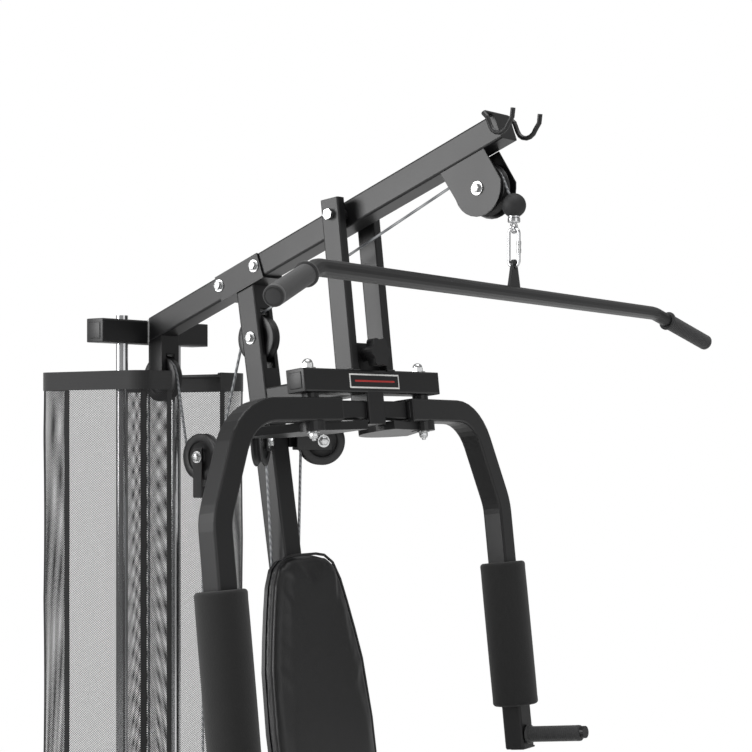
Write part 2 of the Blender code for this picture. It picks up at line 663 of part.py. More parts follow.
def build_stack():
    lower = plate_block("weight_stack_lower", weight_z(0), weight_z(LOWER_WEIGHTS - 1) + WEIGHT_T)
    for k in range(1, LOWER_WEIGHTS):
        z = weight_z(k)
        core = box("core", (-WEIGHT_HALF_X + 0.003, STACK_Y - WEIGHT_HALF_Y + 0.003, z - 0.01),
                   (WEIGHT_HALF_X - 0.003, STACK_Y + WEIGHT_HALF_Y - 0.003, z + 0.01), IRON)
        wide = box("wide", (-0.2, STACK_Y - 0.1, z - 0.0015), (0.2, STACK_Y + 0.1, z + 0.0005), IRON)
        cut(lower, cut(wide, core))
    drill_weight(lower, weight_z(0), weight_z(LOWER_WEIGHTS))
    stem_hole = rod("stem_hole", Vector((0, STACK_Y, weight_z(0) - 0.01)),
                    Vector((0, STACK_Y, weight_z(LOWER_WEIGHTS) + 0.01)), STEM_R + RUN, IRON, 12)
    cut(lower, stem_hole)
    names = ["weight_plate_3", "weight_plate_2", "weight_plate_1"]
    for k, name in enumerate(names):
        z = weight_z(LOWER_WEIGHTS + k)
        plate = drill_weight(plate_block(name, z, z + WEIGHT_T), z, z + WEIGHT_T)
        cut(plate, rod("stem_hole", Vector((0, STACK_Y, z - 0.01)), Vector((0, STACK_Y, z + 0.05)),
                       STEM_R + RUN, IRON, 12))
        cut(plate, pin_slot(z + WEIGHT_T / 2))
    top_z = weight_z(LOWER_WEIGHTS + 3)
    top = drill_weight(plate_block("top_plate", top_z, top_z + TOP_PLATE_T), top_z, top_z + TOP_PLATE_T)
    stem = rod("stem", Vector((0, STACK_Y, weight_z(0) + 0.02)), Vector((0, STACK_Y, top_z + STEM_RISE)),
               STEM_R, STEEL)
    fuse(top, stem)
    pinned = weight_z(LOWER_WEIGHTS + 2) + WEIGHT_T / 2
    cut(top, pin_slot(pinned))
    return top_z + STEM_RISE, pinned


def build_selector_pin(z):
    tip = STACK_Y + 0.012
    front = STACK_Y - WEIGHT_HALF_Y - 0.004
    pin = rod("selector_pin", Vector((0, tip, z)), Vector((0, front - 0.02, z)), PIN_R, ZINC, 16)
    head = rod("head", Vector((0, front, z)), Vector((0, front - 0.045, z)), 0.012, NYLON, 24)
    return fuse(pin, head)


# ---------------------------------------------------------------- shroud
def build_shroud(side):
    """C-shaped cover: a side wall with a front and a back lip."""
    corner = SHROUD_CORNER
    gap = SHROUD_GAP / 2
    mid_y = (SHROUD_FRONT_Y + SHROUD_REAR_Y) / 2
    half_y = (SHROUD_REAR_Y - SHROUD_FRONT_Y) / 2

    def line(offset):
        x = SHROUD_HALF - offset
        y = half_y - offset
        r = corner - offset
        points = [(gap, -y)]
        points += arc((x - r, -y + r), r, -math.pi / 2, 0, 6)
        points += arc((x - r, y - r), r, 0, math.pi / 2, 6)
        points += [(gap, y)]
        return points

    outline = line(0.0) + line(SHROUD_T)[::-1]
    outline = [(side * a, b + mid_y) for a, b in outline]
    return prism("shroud_" + mirror_name(side), outline, SHROUD_BOTTOM, SHROUD_TOP, "Z", MESH)


# ---------------------------------------------------------------- press arm
def arm_point(x, down, front=0.0):
    return PIVOT + X_AXIS * x + ARM_DOWN * down + ARM_FRONT * front


def build_yoke():
    """Two flat hangers, the arm crossbar, a stop block and the knob plate, welded up."""
    half = ARM_TUBE / 2
    yoke = sweep("press_yoke", [arm_point(-BOX_HALF, BOX_TOP + half), arm_point(BOX_HALF, BOX_TOP + half)],
                 ARM_FRONT, rounded(ARM_TUBE, ARM_TUBE, CORNER), FRAME)
    for side in (-1, 1):
        cut(yoke, rod("swing", arm_point(side * SWING_X, BOX_TOP - 0.01),
                      arm_point(side * SWING_X, BOX_BOTTOM + 0.01),
                      PIVOT_BOLT_R + FIT, FRAME, 16))
    for side in (-1, 1):
        path = [arm_point(side * HANGER_X, -HANGER_RISE), arm_point(side * HANGER_X, BOX_TOP + WELD)]
        fuse(yoke, sweep("hanger", path, X_AXIS, rounded(HANGER_T, ARM_TUBE - 0.001, 0.003), FRAME))
    block = sweep("block", [arm_point(0, BOX_BOTTOM - WELD), arm_point(0, BOX_BOTTOM + BLOCK_DROP)],
                  X_AXIS, rounded(TUBE, ARM_TUBE - 0.001, 0.003), FRAME)
    stop_bar = sweep("stop_bar", [arm_point(-STOP_HALF, ARM_MID), arm_point(STOP_HALF, ARM_MID)],
                     ARM_FRONT, rounded(STOP_DEPTH, STOP_HEIGHT, CORNER), FRAME)
    knob_plate = sweep("plate", [arm_point(0, BOX_TOP - 0.055), arm_point(0, BOX_TOP + WELD)],
                       X_AXIS, rounded(2 * HANGER_X - HANGER_T + 0.004, PLATE, 0.001), FRAME)
    lock = arm_point(0, BOX_TOP - LOCK_RISE)
    cut(knob_plate, rod("lock", lock - ARM_FRONT * 0.02, lock + ARM_FRONT * 0.02,
                        LOCK_PIN_R + FIT, FRAME, 16))
    fuse(yoke, block, stop_bar, knob_plate)
    bore = ARM_TUBE - 2 * WALL
    core = sweep("core", [arm_point(side * (BOX_HALF + 0.01), BOX_TOP + half) for side in (-1, 1)],
                 ARM_FRONT, rounded(bore, bore, CORNER - WALL), FRAME)
    cut(yoke, core)
    for side in (-1, 1):
        path = [arm_point(side * HANGER_X, -HANGER_RISE - 0.01), arm_point(side * HANGER_X, BOX_TOP - 0.004)]
        hollow = rounded(HANGER_T - 2 * WALL, ARM_TUBE - 2 * WALL, 0.002)
        cut(yoke, sweep("core", path, X_AXIS, hollow, FRAME))
    hub_in = TUBE / 2 + FIT + 0.0005
    hub_out = HANGER_X - HANGER_T / 2 + 0.001
    for side in (-1, 1):
        fuse(yoke, rod("hub", PIVOT + X_AXIS * side * hub_in, PIVOT + X_AXIS * side * hub_out,
                       0.014, FRAME, 16))
    reach = HANGER_X + HANGER_T
    cut(yoke, rod("pivot", PIVOT - X_AXIS * reach, PIVOT + X_AXIS * reach, PIVOT_BOLT_R + FIT, FRAME, 16))
    return on_axis(yoke, PIVOT)


def build_pivot_bolt():
    head = HANGER_X + HANGER_T / 2 + FIT
    bolt = rod("pivot_bolt", PIVOT - X_AXIS * (head + 0.004), PIVOT + X_AXIS * (head + 0.004),
               PIVOT_BOLT_R, ZINC, 24)
    for side in (-1, 1):
        start = PIVOT + X_AXIS * side * head
        fuse(bolt, rod("head", start, start + X_AXIS * side * 0.009, 0.011, ZINC, 6, smooth=False))
    return bolt


def build_lock_knob():
    """Star knob on the plate between the hangers, with its locking pin."""
    origin = arm_point(0, BOX_TOP - LOCK_RISE)
    face = PLATE / 2 + FIT
    pin = rod("lock_knob", origin - ARM_FRONT * 0.016, origin + ARM_FRONT * 0.030, LOCK_PIN_R, ZINC, 16)
    collar = rod("collar", origin + ARM_FRONT * face, origin + ARM_FRONT * 0.026, 0.013, NYLON, 24)
    lobes = []
    for k in range(36):
        angle = math.tau * k / 36
        lobes.append((KNOB_R - 0.0035 + 0.0035 * math.cos(6 * angle), angle))
    outline = [(r * math.cos(a), r * math.sin(a)) for r, a in lobes]
    up = ARM_FRONT.cross(X_AXIS)
    rings = [section_ring(origin + ARM_FRONT * z, X_AXIS, up, outline) for z in (0.025, 0.045)]
    return on_axis(fuse(pin, collar, loft("star", rings, NYLON)), origin)


def arm_path(side):
    """Middle line of a swinging arm as (outward, down) pairs: across, bend, slant, bend, down."""
    turn = math.pi / 2 - ARM_SPLAY
    points = [(ARM_INNER_X, ARM_MID)]
    first = (ARM_BEND_X, ARM_MID + ARM_BEND_R)
    for k in range(8):
        angle = turn * k / 7
        points.append((first[0] + ARM_BEND_R * math.sin(angle), first[1] - ARM_BEND_R * math.cos(angle)))
    x, down = points[-1]
    x += ARM_SLANT * math.sin(ARM_SPLAY)
    down += ARM_SLANT * math.cos(ARM_SPLAY)
    points.append((x, down))
    second = (x - ARM_BEND2_R * math.cos(ARM_SPLAY), down + ARM_BEND2_R * math.sin(ARM_SPLAY))
    for k in range(1, 4):
        angle = ARM_SPLAY * (1 - k / 3)
        points.append((second[0] + ARM_BEND2_R * math.cos(angle), second[1] - ARM_BEND2_R * math.sin(angle)))
    points.append((points[-1][0], ARM_END))
    return points


def swing_frame(side):
    """Outward and forward axes of an arm at rest, swung back about its pivot."""
    outward = X_AXIS * side * math.cos(SWING_REST) - ARM_FRONT * math.sin(SWING_REST)
    forward = ARM_FRONT * math.cos(SWING_REST) + X_AXIS * side * math.sin(SWING_REST)
    return outward, forward


def swing_point(side, out, down, front=0.0):
    outward, forward = swing_frame(side)
    return arm_point(side * SWING_X, down) + outward * (out - SWING_X) + forward * front


def foam_line():
    return arm_path(1)[-1][0]


def build_arm(side):
    name = "swing_arm_" + mirror_name(side)
    outward, forward = swing_frame(side)
    path = [swing_point(side, out, down) for out, down in arm_path(side)]
    arm = square_tube(name, path, forward, ARM_TUBE, ARM_TUBE, WALL, FRAME, ends=(True, True))
    top = ARM_MID - ARM_TUBE / 2
    bottom = ARM_MID + ARM_TUBE / 2
    fuse(arm, rod("spacer", swing_point(side, SWING_X, BOX_BOTTOM + FIT),
                  swing_point(side, SWING_X, top + 0.001),
                  0.016, FRAME, 16))
    cam = [(0.004, -0.003)]
    sector = np.radians(np.linspace(CAM_START, CAM_END, 15))
    cam += [(CAM_R * math.cos(a), CAM_R * math.sin(a)) for a in sector]
    rings = []
    for down in (bottom - 0.0005, bottom + CAM_T):
        rings.append([swing_point(side, SWING_X + a, down, -b) for a, b in cam])
    fuse(arm, loft("cam", rings, FRAME))
    boss = rod("boss", swing_point(side, SWING_X, bottom - 0.001),
               swing_point(side, SWING_X, bottom + CAM_T + 0.0015), 0.024, FRAME, 20)
    fuse(arm, boss)
    cut(arm, rod("pivot", swing_point(side, SWING_X, BOX_BOTTOM - 0.02),
                 swing_point(side, SWING_X, bottom + 0.05),
                 PIVOT_BOLT_R + FIT, FRAME, 16))
    x = foam_line()
    start = swing_point(side, x, HANDLE_DOWN, ARM_TUBE / 2 - 0.001)
    handle = rod("handle", start, swing_point(side, x, HANDLE_DOWN, ARM_TUBE / 2 + GRIP_LENGTH + 0.012),
                 GRIP_R - GRIP_WALL, FRAME, 20)
    fuse(arm, handle)
    return on_axis(arm, arm_point(side * SWING_X, BOX_BOTTOM))


def build_arm_foam(side):
    x = foam_line()
    top = swing_point(side, x, FOAM_TOP)
    low = swing_point(side, x, FOAM_TOP + FOAM_LENGTH)
    run = (low - top).normalized()
    bore = ARM_TUBE / math.sqrt(2) - CORNER * (math.sqrt(2) - 1) + FIT
    edge = 0.006
    profile = [(bore, 0.0), (FOAM_R - edge, 0.0), (FOAM_R - 0.002, 0.002), (FOAM_R, edge),
               (FOAM_R, FOAM_LENGTH - edge), (FOAM_R - 0.002, FOAM_LENGTH - 0.002),
               (FOAM_R - edge, FOAM_LENGTH), (bore, FOAM_LENGTH)]
    foam = turned("arm_foam_" + mirror_name(side), top, run, profile, FOAM, 20)
    return on_axis(foam, arm_point(side * SWING_X, BOX_BOTTOM))


def build_handle_grip(side):
    x = foam_line()
    start = swing_point(side, x, HANDLE_DOWN, ARM_TUBE / 2 + GRIP_WALL)
    end = swing_point(side, x, HANDLE_DOWN, ARM_TUBE / 2 + GRIP_WALL + GRIP_LENGTH)
    bore = GRIP_R - GRIP_WALL + FIT
    flange = GRIP_R + 0.003
    profile = [(bore, 0.0), (flange, 0.0), (flange, 0.004), (GRIP_R, 0.006),
               (GRIP_R, GRIP_LENGTH - 0.003), (GRIP_R - 0.002, GRIP_LENGTH), (bore, GRIP_LENGTH)]
    grip = turned("handle_grip_" + mirror_name(side), start, end - start, profile, FOAM, 16)
    return on_axis(grip, arm_point(side * SWING_X, BOX_BOTTOM))


# ---------------------------------------------------------------- lat bar
def build_bar_hooks():
    """Bent rod over the front end of the boom with a cradle on each side."""
    wire = HOOK_WIRE_R
    reach = TUBE / 2 + 0.018
    top_y = BOOM_FRONT_Y + 0.030
    top_z = boom_under(top_y) + BOOM_HEIGHT + wire / math.cos(BOOM_SLOPE) + 2 * FIT
    cradle_y = top_y - 0.038
    low_z = top_z - 0.040
    half = 0.030
    loop = [(cradle_y - half, low_z + 0.040), (cradle_y - half + 0.002, low_z + 0.024)]
    loop += arc((cradle_y, low_z + 0.020), 0.021, math.pi + 0.35, math.tau - 0.35, 6)
    loop += [(cradle_y + half - 0.003, low_z + 0.030)]
    left = [Vector((-reach, y, z)) for y, z in loop]
    left += [Vector((-reach + 0.002, top_y - 0.002, top_z - 0.002))]
    bend = [Vector((-reach + 0.008, top_y, top_z)), Vector((reach - 0.008, top_y, top_z))]
    right = [Vector((-p.x, p.y, p.z)) for p in reversed(left)]
    return round_sweep("bar_hooks", left + bend + right, wire, FRAME, 10)


def round_sweep(name, points, radius, look, count=10, closed=False):
    """Round rod along a path in space, its section carried along without twisting."""
    total = len(points)
    rings = []
    across = None
    for i, centre in enumerate(points):
        ahead = points[(i + 1) % total] if closed or i + 1 < total else points[i]
        behind = points[i - 1] if closed or i else points[i]
        run = (ahead - behind).normalized()
        if across is None:
            across = run.orthogonal().normalized()
        across = (across - run * across.dot(run)).normalized()
        up = run.cross(across)
        rings.append(section_ring(centre, across, up, circle(radius, count)))
    return loft(name, rings, look, closed=closed, smooth=True)


def build_ball_stop():
    """Stop ball, swaged end and eye at the end of the cable."""
    centre = Vector((0, LINE_Y, BALL_Z))
    hole = CABLE_R + FIT
    profile = [(hole, -BALL_R + 0.0002)]
    for k in range(1, 9):
        angle = -math.pi / 2 + math.pi * k / 9
        profile.append((BALL_R * math.cos(angle), BALL_R * math.sin(angle)))
    profile.append((hole, BALL_R - 0.0002))
    ball = turned("ball_stop", centre, Z_AXIS, profile, NYLON, 20)
    neck = centre - Z_AXIS * (BALL_R - 0.003)
    collar = rod("collar", neck, neck - Z_AXIS * 0.012, 0.0115, ZINC, 24)
    eye_mid = neck - Z_AXIS * (0.012 + EYE_R)
    eye = round_sweep("eye", [eye_mid + (X_AXIS * math.cos(a) + Z_AXIS * math.sin(a)) * EYE_R
                              for a in np.linspace(0, math.tau, 12, endpoint=False)],
                      EYE_WIRE_R, ZINC, 8, True)
    fuse(ball, collar, eye)
    return on_axis(ball, centre), eye_mid


def build_carabiner(eye_mid, tab_hole):
    """Oval spring hook between the eye of the cable and the tab of the bar."""
    top = eye_mid.z - EYE_R + EYE_WIRE_R + 2 * CLIP_R
    low = tab_hole - 0.0035 - CLIP_R + 0.006
    points = []
    for a in np.linspace(0, math.pi, 9):
        points.append(Vector((0, LINE_Y + CLIP_HALF * math.cos(a),
                              top - CLIP_HALF + CLIP_HALF * math.sin(a))))
    for a in np.linspace(math.pi, math.tau, 9):
        points.append(Vector((0, LINE_Y + CLIP_HALF * math.cos(a),
                              low + CLIP_HALF + CLIP_HALF * math.sin(a))))
    return on_axis(round_sweep("carabiner", points, CLIP_R, ZINC, 10, True), Vector((0, LINE_Y, top)))


def bar_axes():
    along = Vector((math.cos(BAR_YAW), math.sin(BAR_YAW), 0))
    aside = Vector((math.sin(BAR_YAW), -math.cos(BAR_YAW), 0))
    dip = aside * math.sin(BAR_ROLL) - Z_AXIS * math.cos(BAR_ROLL)
    return along, aside, dip


def bar_half_path():
    """Half of the bar as (along, dip) pairs: straight, bend, straight."""
    bend_r = 0.060
    points = [(BAR_STRAIGHT - bend_r * math.tan(BAR_BEND / 2), 0.0)]
    start = points[0][0]
    for k in range(1, 5):
        angle = BAR_BEND * k / 4
        points.append((start + bend_r * math.sin(angle), bend_r * (1 - math.cos(angle))))
    x, dip = points[-1]
    return points + [(x + BAR_END_RUN * math.cos(BAR_BEND), dip + BAR_END_RUN * math.sin(BAR_BEND))]


def build_lat_bar():
    along, aside, dip = bar_axes()
    centre = Vector((0, LINE_Y, BAR_Z))
    half = [centre + along * a + dip * d for a, d in bar_half_path()]
    other = [centre - along * a + dip * d for a, d in bar_half_path()]
    path = other[::-1] + half
    normal = along.cross(dip).normalized()
    bar = sweep("lat_bar", path, normal, circle(BAR_R, 16), FRAME, smooth=True)
    ends = [path[0] - (path[1] - path[0]).normalized() * 0.01] + path[1:-1]
    ends += [path[-1] + (path[-1] - path[-2]).normalized() * 0.01]
    core = sweep("core", ends, normal, circle(BAR_R - 0.002, 8), FRAME)
    tab = [(-0.021, -0.004), (0.021, -0.004), (0.009, 0.038)]
    tab += arc((0.0, 0.040), 0.009, 0.2, math.pi - 0.2, 6) + [(-0.009, 0.038)]
    rings = []
    for t in (-0.003, 0.003):
        rings.append([centre + along * a + Z_AXIS * (BAR_R + b) + aside * t for a, b in tab])
    fuse(bar, loft("tab", rings, FRAME))
    hole = centre + Z_AXIS * (BAR_R + TAB_HOLE)
    cut(bar, core, rod("hole", hole - aside * 0.01, hole + aside * 0.01, 0.0055, FRAME, 16))
    return on_axis(bar, hole)


def build_lat_grip(side):
    along, aside, dip = bar_axes()
    centre = Vector((0, LINE_Y, BAR_Z))
    pairs = bar_half_path()
    tip = centre + along * side * pairs[-1][0] + dip * pairs[-1][1]
    bend = centre + along * side * pairs[-2][0] + dip * pairs[-2][1]
    run = (bend - tip).normalized()
    profile = [(BAR_R + FIT, 0.0), (LAT_GRIP_R - 0.001, 0.0), (LAT_GRIP_R, 0.002),
               (LAT_GRIP_R, LAT_GRIP_LENGTH - 0.002), (LAT_GRIP_R - 0.001, LAT_GRIP_LENGTH),
               (BAR_R + FIT, LAT_GRIP_LENGTH)]
    grip = turned("lat_grip_" + mirror_name(side), tip, run, profile, FOAM, 20)
    return on_axis(grip, centre + Z_AXIS * (BAR_R + TAB_HOLE))


# ---------------------------------------------------------------- seat and pads
def build_back_pad():
    """Tapered back cushion lying on the front of the mast."""
    up = Vector((0, math.sin(MAST_LEAN), math.cos(MAST_LEAN)))
    front = Vector((0, -math.cos(MAST_LEAN), math.sin(MAST_LEAN)))
    low = BACK_PAD_TOP - BACK_PAD_LENGTH * math.cos(MAST_LEAN)
    foot = Vector((0, mast_front(low), low))
    half = [(0.0, 0.125), (0.10, 0.140), (0.30, 0.146), (0.42, 0.138), (0.54, 0.112), (0.585, 0.100),
            (0.620, 0.083), (0.636, 0.060), (BACK_PAD_LENGTH, 0.035)]
    outline = [(x, h) for h, x in half] + [(-x, h) for h, x in reversed(half)]
    back = FIT
    soft = 0.010
    depths = ((back, 0.0), (BACK_PAD_T - soft, 0.0), (BACK_PAD_T - 0.003, 0.003), (BACK_PAD_T, soft))
    rings = []
    for depth, inset in depths:
        scale_x = 1 - inset / 0.14
        scale_z = 1 - inset / (BACK_PAD_LENGTH / 2)
        mid = BACK_PAD_LENGTH / 2
        rings.append([foot + X_AXIS * x * scale_x + up * (mid + (h - mid) * scale_z) + front * depth
                      for x, h in outline])
    return loft("back_pad", rings, VINYL)


def build_seat():
    rear = SEAT_REAR
    front = rear - SEAT_LENGTH
    mid = (rear + front) / 2
    outline = [(a, b + mid) for a, b in rounded(2 * SEAT_HALF, SEAT_LENGTH, 0.045, 5)]
    soft = 0.010
    rings = []
    for z, inset in ((SEAT_UNDER, 0.0), (SEAT_TOP - soft, 0.0), (SEAT_TOP - 0.003, 0.003), (SEAT_TOP, soft)):
        scale_x = 1 - inset / SEAT_HALF
        scale_y = 1 - inset / (SEAT_LENGTH / 2)
        rings.append([Vector((x * scale_x, mid + (y - mid) * scale_y, z)) for x, y in outline])
    return loft("seat_pad", rings, VINYL)


def build_seat_frame():
    """Seat beam from the mast to the lever pivot, with its post to the base beam."""
    z = BEAM_TOP - TUBE / 2
    rear = mast_front(BEAM_TOP - TUBE) - FIT
    beam = sweep("seat_frame", [Vector((0, LEVER_Y + 0.040, z)), Vector((0, rear, z))], X_AXIS,
                 rounded(TUBE, TUBE, CORNER), FRAME)
    y0, y1 = rear - 0.05, rear + 0.05
    lean = [(mast_front(BEAM_TOP - 0.1) - FIT, BEAM_TOP - 0.1),
            (mast_front(BEAM_TOP + 0.1) - FIT, BEAM_TOP + 0.1),
            (y1 + 0.1, BEAM_TOP + 0.1), (y1 + 0.1, BEAM_TOP - 0.1)]
    cut(beam, prism("lean", lean, -0.1, 0.1, "X", FRAME))
    post = sweep("post", [Vector((0, POST_Y, TUBE + FIT)), Vector((0, POST_Y, z))], X_AXIS,
                 rounded(TUBE - 0.001, TUBE, CORNER), FRAME)
    fuse(beam, post)
    core = sweep("core", [Vector((0, LEVER_Y + 0.040 + WALL, z)), Vector((0, y0, z))], X_AXIS,
                 rounded(TUBE - 2 * WALL, TUBE - 2 * WALL, 0.001), FRAME)
    shaft = sweep("shaft", [Vector((0, POST_Y, TUBE - 0.01)), Vector((0, POST_Y, z))], X_AXIS,
                  rounded(TUBE - 2 * WALL - 0.001, TUBE - 2 * WALL - 0.001, 0.001), FRAME)
    cut(beam, core, shaft)
    inner = LEVER_TUBE / 2 + RUN
    for side in (-1, 1):
        edges = sorted((side * inner, side * (inner + PLATE)))
        outline = [(LEVER_Y + 0.045, LEVER_Z - 0.014), (LEVER_Y + 0.045, LEVER_Z + 0.042)]
        outline += arc((LEVER_Y, LEVER_Z), 0.020, math.pi / 2, 1.5 * math.pi, 8)
        fuse(beam, prism("ear", outline, edges[0], edges[1], "X", FRAME))
    pivot = Vector((0, LEVER_Y, LEVER_Z))
    cut(beam, rod("pivot", pivot - X_AXIS * 0.05, pivot + X_AXIS * 0.05, PIVOT_BOLT_R, FRAME, 24))
    return cut(beam, cable_passage(POST_Y))


def build_leg_lever():
    pivot = Vector((0, LEVER_Y, LEVER_Z))
    low = pivot - Z_AXIS * LEVER_LENGTH
    lever = sweep("leg_lever", [pivot + Z_AXIS * 0.018, low - Z_AXIS * 0.018], X_AXIS,
                  rounded(LEVER_TUBE, LEVER_TUBE - 0.004, 0.003), FRAME)
    half = LEVER_TUBE / 2 + LEG_FOAM_LENGTH + 0.010
    fuse(lever, rod("bar", low - X_AXIS * half, low + X_AXIS * half, ROLLER_BAR_R, FRAME, 20))
    pin = LEVER_TUBE / 2 + RUN + PLATE + 0.006
    fuse(lever, rod("pin", pivot - X_AXIS * pin, pivot + X_AXIS * pin, PIVOT_BOLT_R - FIT, ZINC, 24))
    return on_axis(lever, pivot)


def build_leg_foam(side):
    low = Vector((0, LEVER_Y, LEVER_Z - LEVER_LENGTH))
    start = low + X_AXIS * side * (LEVER_TUBE / 2 + 0.003)
    edge = 0.006
    bore = ROLLER_BAR_R + FIT
    profile = [(bore, 0.0), (LEG_FOAM_R - edge, 0.0), (LEG_FOAM_R, edge),
               (LEG_FOAM_R, LEG_FOAM_LENGTH - edge), (LEG_FOAM_R - edge, LEG_FOAM_LENGTH),
               (bore, LEG_FOAM_LENGTH)]
    foam = turned("leg_foam_" + mirror_name(side), start, X_AXIS * side, profile, FOAM, 20)
    return on_axis(foam, Vector((0, LEVER_Y, LEVER_Z)))


# ---------------------------------------------------------------- cables
def cable(name, points, resolution=2):
    curve = bpy.data.curves.new(name, "CURVE")
    curve.dimensions = "3D"
    curve.bevel_depth = CABLE_R
    curve.bevel_resolution = resolution
    curve.use_fill_caps = True
    spline = curve.splines.new("POLY")
    spline.points.add(len(points) - 1)
    for spot, point in zip(spline.points, points):
        spot.co = (*point, 1.0)
    obj = bpy.data.objects.new(name, curve)
    bpy.context.scene.collection.objects.link(obj)
    curve.materials.append(material(*CABLE))
    return obj


def wrap(centre, start, end, count):
    """Points on a pulley from one angle to another in the Y-Z plane, in degrees."""
    y, z = centre
    return [Vector((0, y + GROOVE_R * math.cos(math.radians(a)), z + GROOVE_R * math.sin(math.radians(a))))
            for a in np.linspace(start, end, count)]


def tangent(first, second, first_side, second_side):
    """Angle in degrees at which a straight cable leaves one pulley for the next.

    A side is 1 where the cable goes round counter-clockwise seen with +Y right and +Z up.
    """
    gap = math.dist(first, second)
    heading = math.atan2(second[1] - first[1], second[0] - first[0])
    if first_side == second_side:
        return math.degrees(heading) - 90 * first_side
    return math.degrees(heading) - first_side * math.degrees(math.acos(2 * GROOVE_R / gap))


def point_tangent(centre, point):
    """Angle in degrees where a cable that comes over a pulley leaves it for a lower point in front."""
    gap = math.dist(centre, point)
    heading = math.atan2(point[1] - centre[1], point[0] - centre[0]) % math.tau
    return math.degrees(heading - math.acos(GROOVE_R / gap))


def point_tangent_over(reach, height):
    """Angle where a cable from a point in front lands on top of a pulley."""
    return math.atan2(height, reach) + math.acos(GROOVE_R / math.hypot(reach, height))


def build_lat_cable(stem_top):
    front = (FRONT_PULLEY_Y, FRONT_PULLEY_Z)
    mast = (mast_mid(MAST_PULLEY_Z), MAST_PULLEY_Z)
    rear = (REAR_PULLEY_Y, REAR_PULLEY_Z)
    leave = point_tangent(front, (LINE_Y, BALL_Z))
    tip = wrap(front, leave, leave, 1)[0]
    ball = Vector((0, LINE_Y, BALL_Z))
    run = (tip - ball).normalized()
    cable("cable_bar_end", [tip - run * FIT, ball + run * (BALL_R + FIT)])
    a1 = tangent(front, mast, -1, -1)
    a2 = tangent(mast, FLOAT_PULLEY, -1, 1)
    a3 = tangent(FLOAT_PULLEY, rear, 1, -1)
    points = wrap(front, leave, a1, 8)
    points += wrap(mast, a1, a2, 5)
    points += wrap(FLOAT_PULLEY, a2 - 180, a3, 9)
    points += wrap(rear, a3 + 180, 0, 8)
    cable("cable_upper", points)
    ends = (REAR_PULLEY_Z - 3 * FIT, stem_top + FIT)
    cable("cable_stack_end", [Vector((0, STACK_Y, z)) for z in ends])


def build_press_cable():
    """One cable from cam to cam, over both swivel pulleys and through the lower floating bracket."""
    side = -1
    centre = swivel_centre(side)
    run = swivel_run(side)
    outward, forward = swing_frame(side)
    cam_mid = arm_point(side * SWING_X, CAM_CABLE_DOWN)
    leave = centre + run * math.sqrt((cam_mid - centre).xy.length ** 2 - CAM_CABLE_R ** 2) - cam_mid
    leave_angle = math.atan2(-leave.dot(forward), leave.dot(outward))
    cam = [cam_mid + outward * CAM_CABLE_R * math.cos(a) - forward * CAM_CABLE_R * math.sin(a)
           for a in (leave_angle - 0.14, leave_angle - 0.07, leave_angle)]
    reach = cam[-1] - centre
    rise = point_tangent_over(reach.xy.length, reach.z)
    left = cam + [centre + run * GROOVE_R * math.cos(a) + Z_AXIS * GROOVE_R * math.sin(a)
                  for a in np.linspace(rise, math.pi, 6)]
    bottom = Vector((-0.010, LOW_FLOAT[0], LOW_FLOAT_TOP + 0.016))
    turn = [Vector((-0.010, LOW_FLOAT[0], LOW_FLOAT_TOP + 0.012)),
            Vector((-0.007, LOW_FLOAT[0], LOW_FLOAT_TOP + 0.006)),
            Vector((0.0, LOW_FLOAT[0], LOW_FLOAT_TOP + 0.0035))]
    left = left + [bottom] + turn
    right = [Vector((-p.x, p.y, p.z)) for p in reversed(left[:-1])]
    return cable("cable_press", left + right)


def build_low_cable():
    """From the leg lever under the base pulleys, round both floating brackets."""
    places = low_pulley_places()
    front = (places["pulley_low_front"], BASE_PULLEY_Z)
    first = (places["pulley_base_front"], BASE_PULLEY_Z)
    middle = (places["pulley_base_middle"], BASE_PULLEY_Z)
    rear = (places["pulley_base_rear"], BASE_PULLEY_Z)
    start_z = LEVER_Z - LEVER_LENGTH + 0.030
    hook = Vector((0, LEVER_Y + LEVER_TUBE / 2 + 0.001, start_z))
    points = [hook]
    points += wrap(front, 215, 270, 3)
    points += wrap(first, 270, 360, 5)
    points += wrap(LOW_FLOAT, 180, 0, 9)
    points += wrap(middle, 180, 270, 5)
    points += wrap(rear, 270, 360, 5)
    points += [Vector((0, FLOAT_PULLEY[0], FLOAT_PULLEY[1] - FLOAT_TAIL - FIT))]
    return cable("cable_low", points)


# ---------------------------------------------------------------- build it all
def build_all():
    build_base()
    build_mast()
    build_boom()
    build_saddle()
    build_crossbar()
    build_rods()
    build_stub()
    build_pulleys()
    build_front_bracket()
    build_float_bracket("float_bracket_upper", FLOAT_PULLEY, -FLOAT_TAIL)
    build_float_bracket("float_bracket_lower", LOW_FLOAT, LOW_FLOAT_TAIL)
    stem_top, pinned = build_stack()
    build_selector_pin(pinned)
    build_yoke()
    build_pivot_bolt()
    build_lock_knob()
    build_bar_hooks()
    ball, eye_mid = build_ball_stop()
    build_carabiner(eye_mid, BAR_Z + BAR_R + TAB_HOLE)
    build_lat_bar()
    for side in (-1, 1):
        build_swivel_bracket(side)
        build_shroud(side)
        build_arm(side)
        build_arm_foam(side)
        build_handle_grip(side)
        build_lat_grip(side)
        build_leg_foam(side)
    build_back_pad()
    build_seat()
    build_seat_frame()
    build_leg_lever()
    build_lat_cable(stem_top)
    build_press_cable()
    build_low_cable()


build_all()
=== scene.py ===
"""Home multi-gym: coated steel, plated hardware, foam, vinyl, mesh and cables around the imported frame.

Metres, +Z up, floor at Z = 0, user side -Y, weight stack +Y, X across the machine.
"""
import json
import math

import bpy
import numpy as np
from mathutils import Matrix, Vector


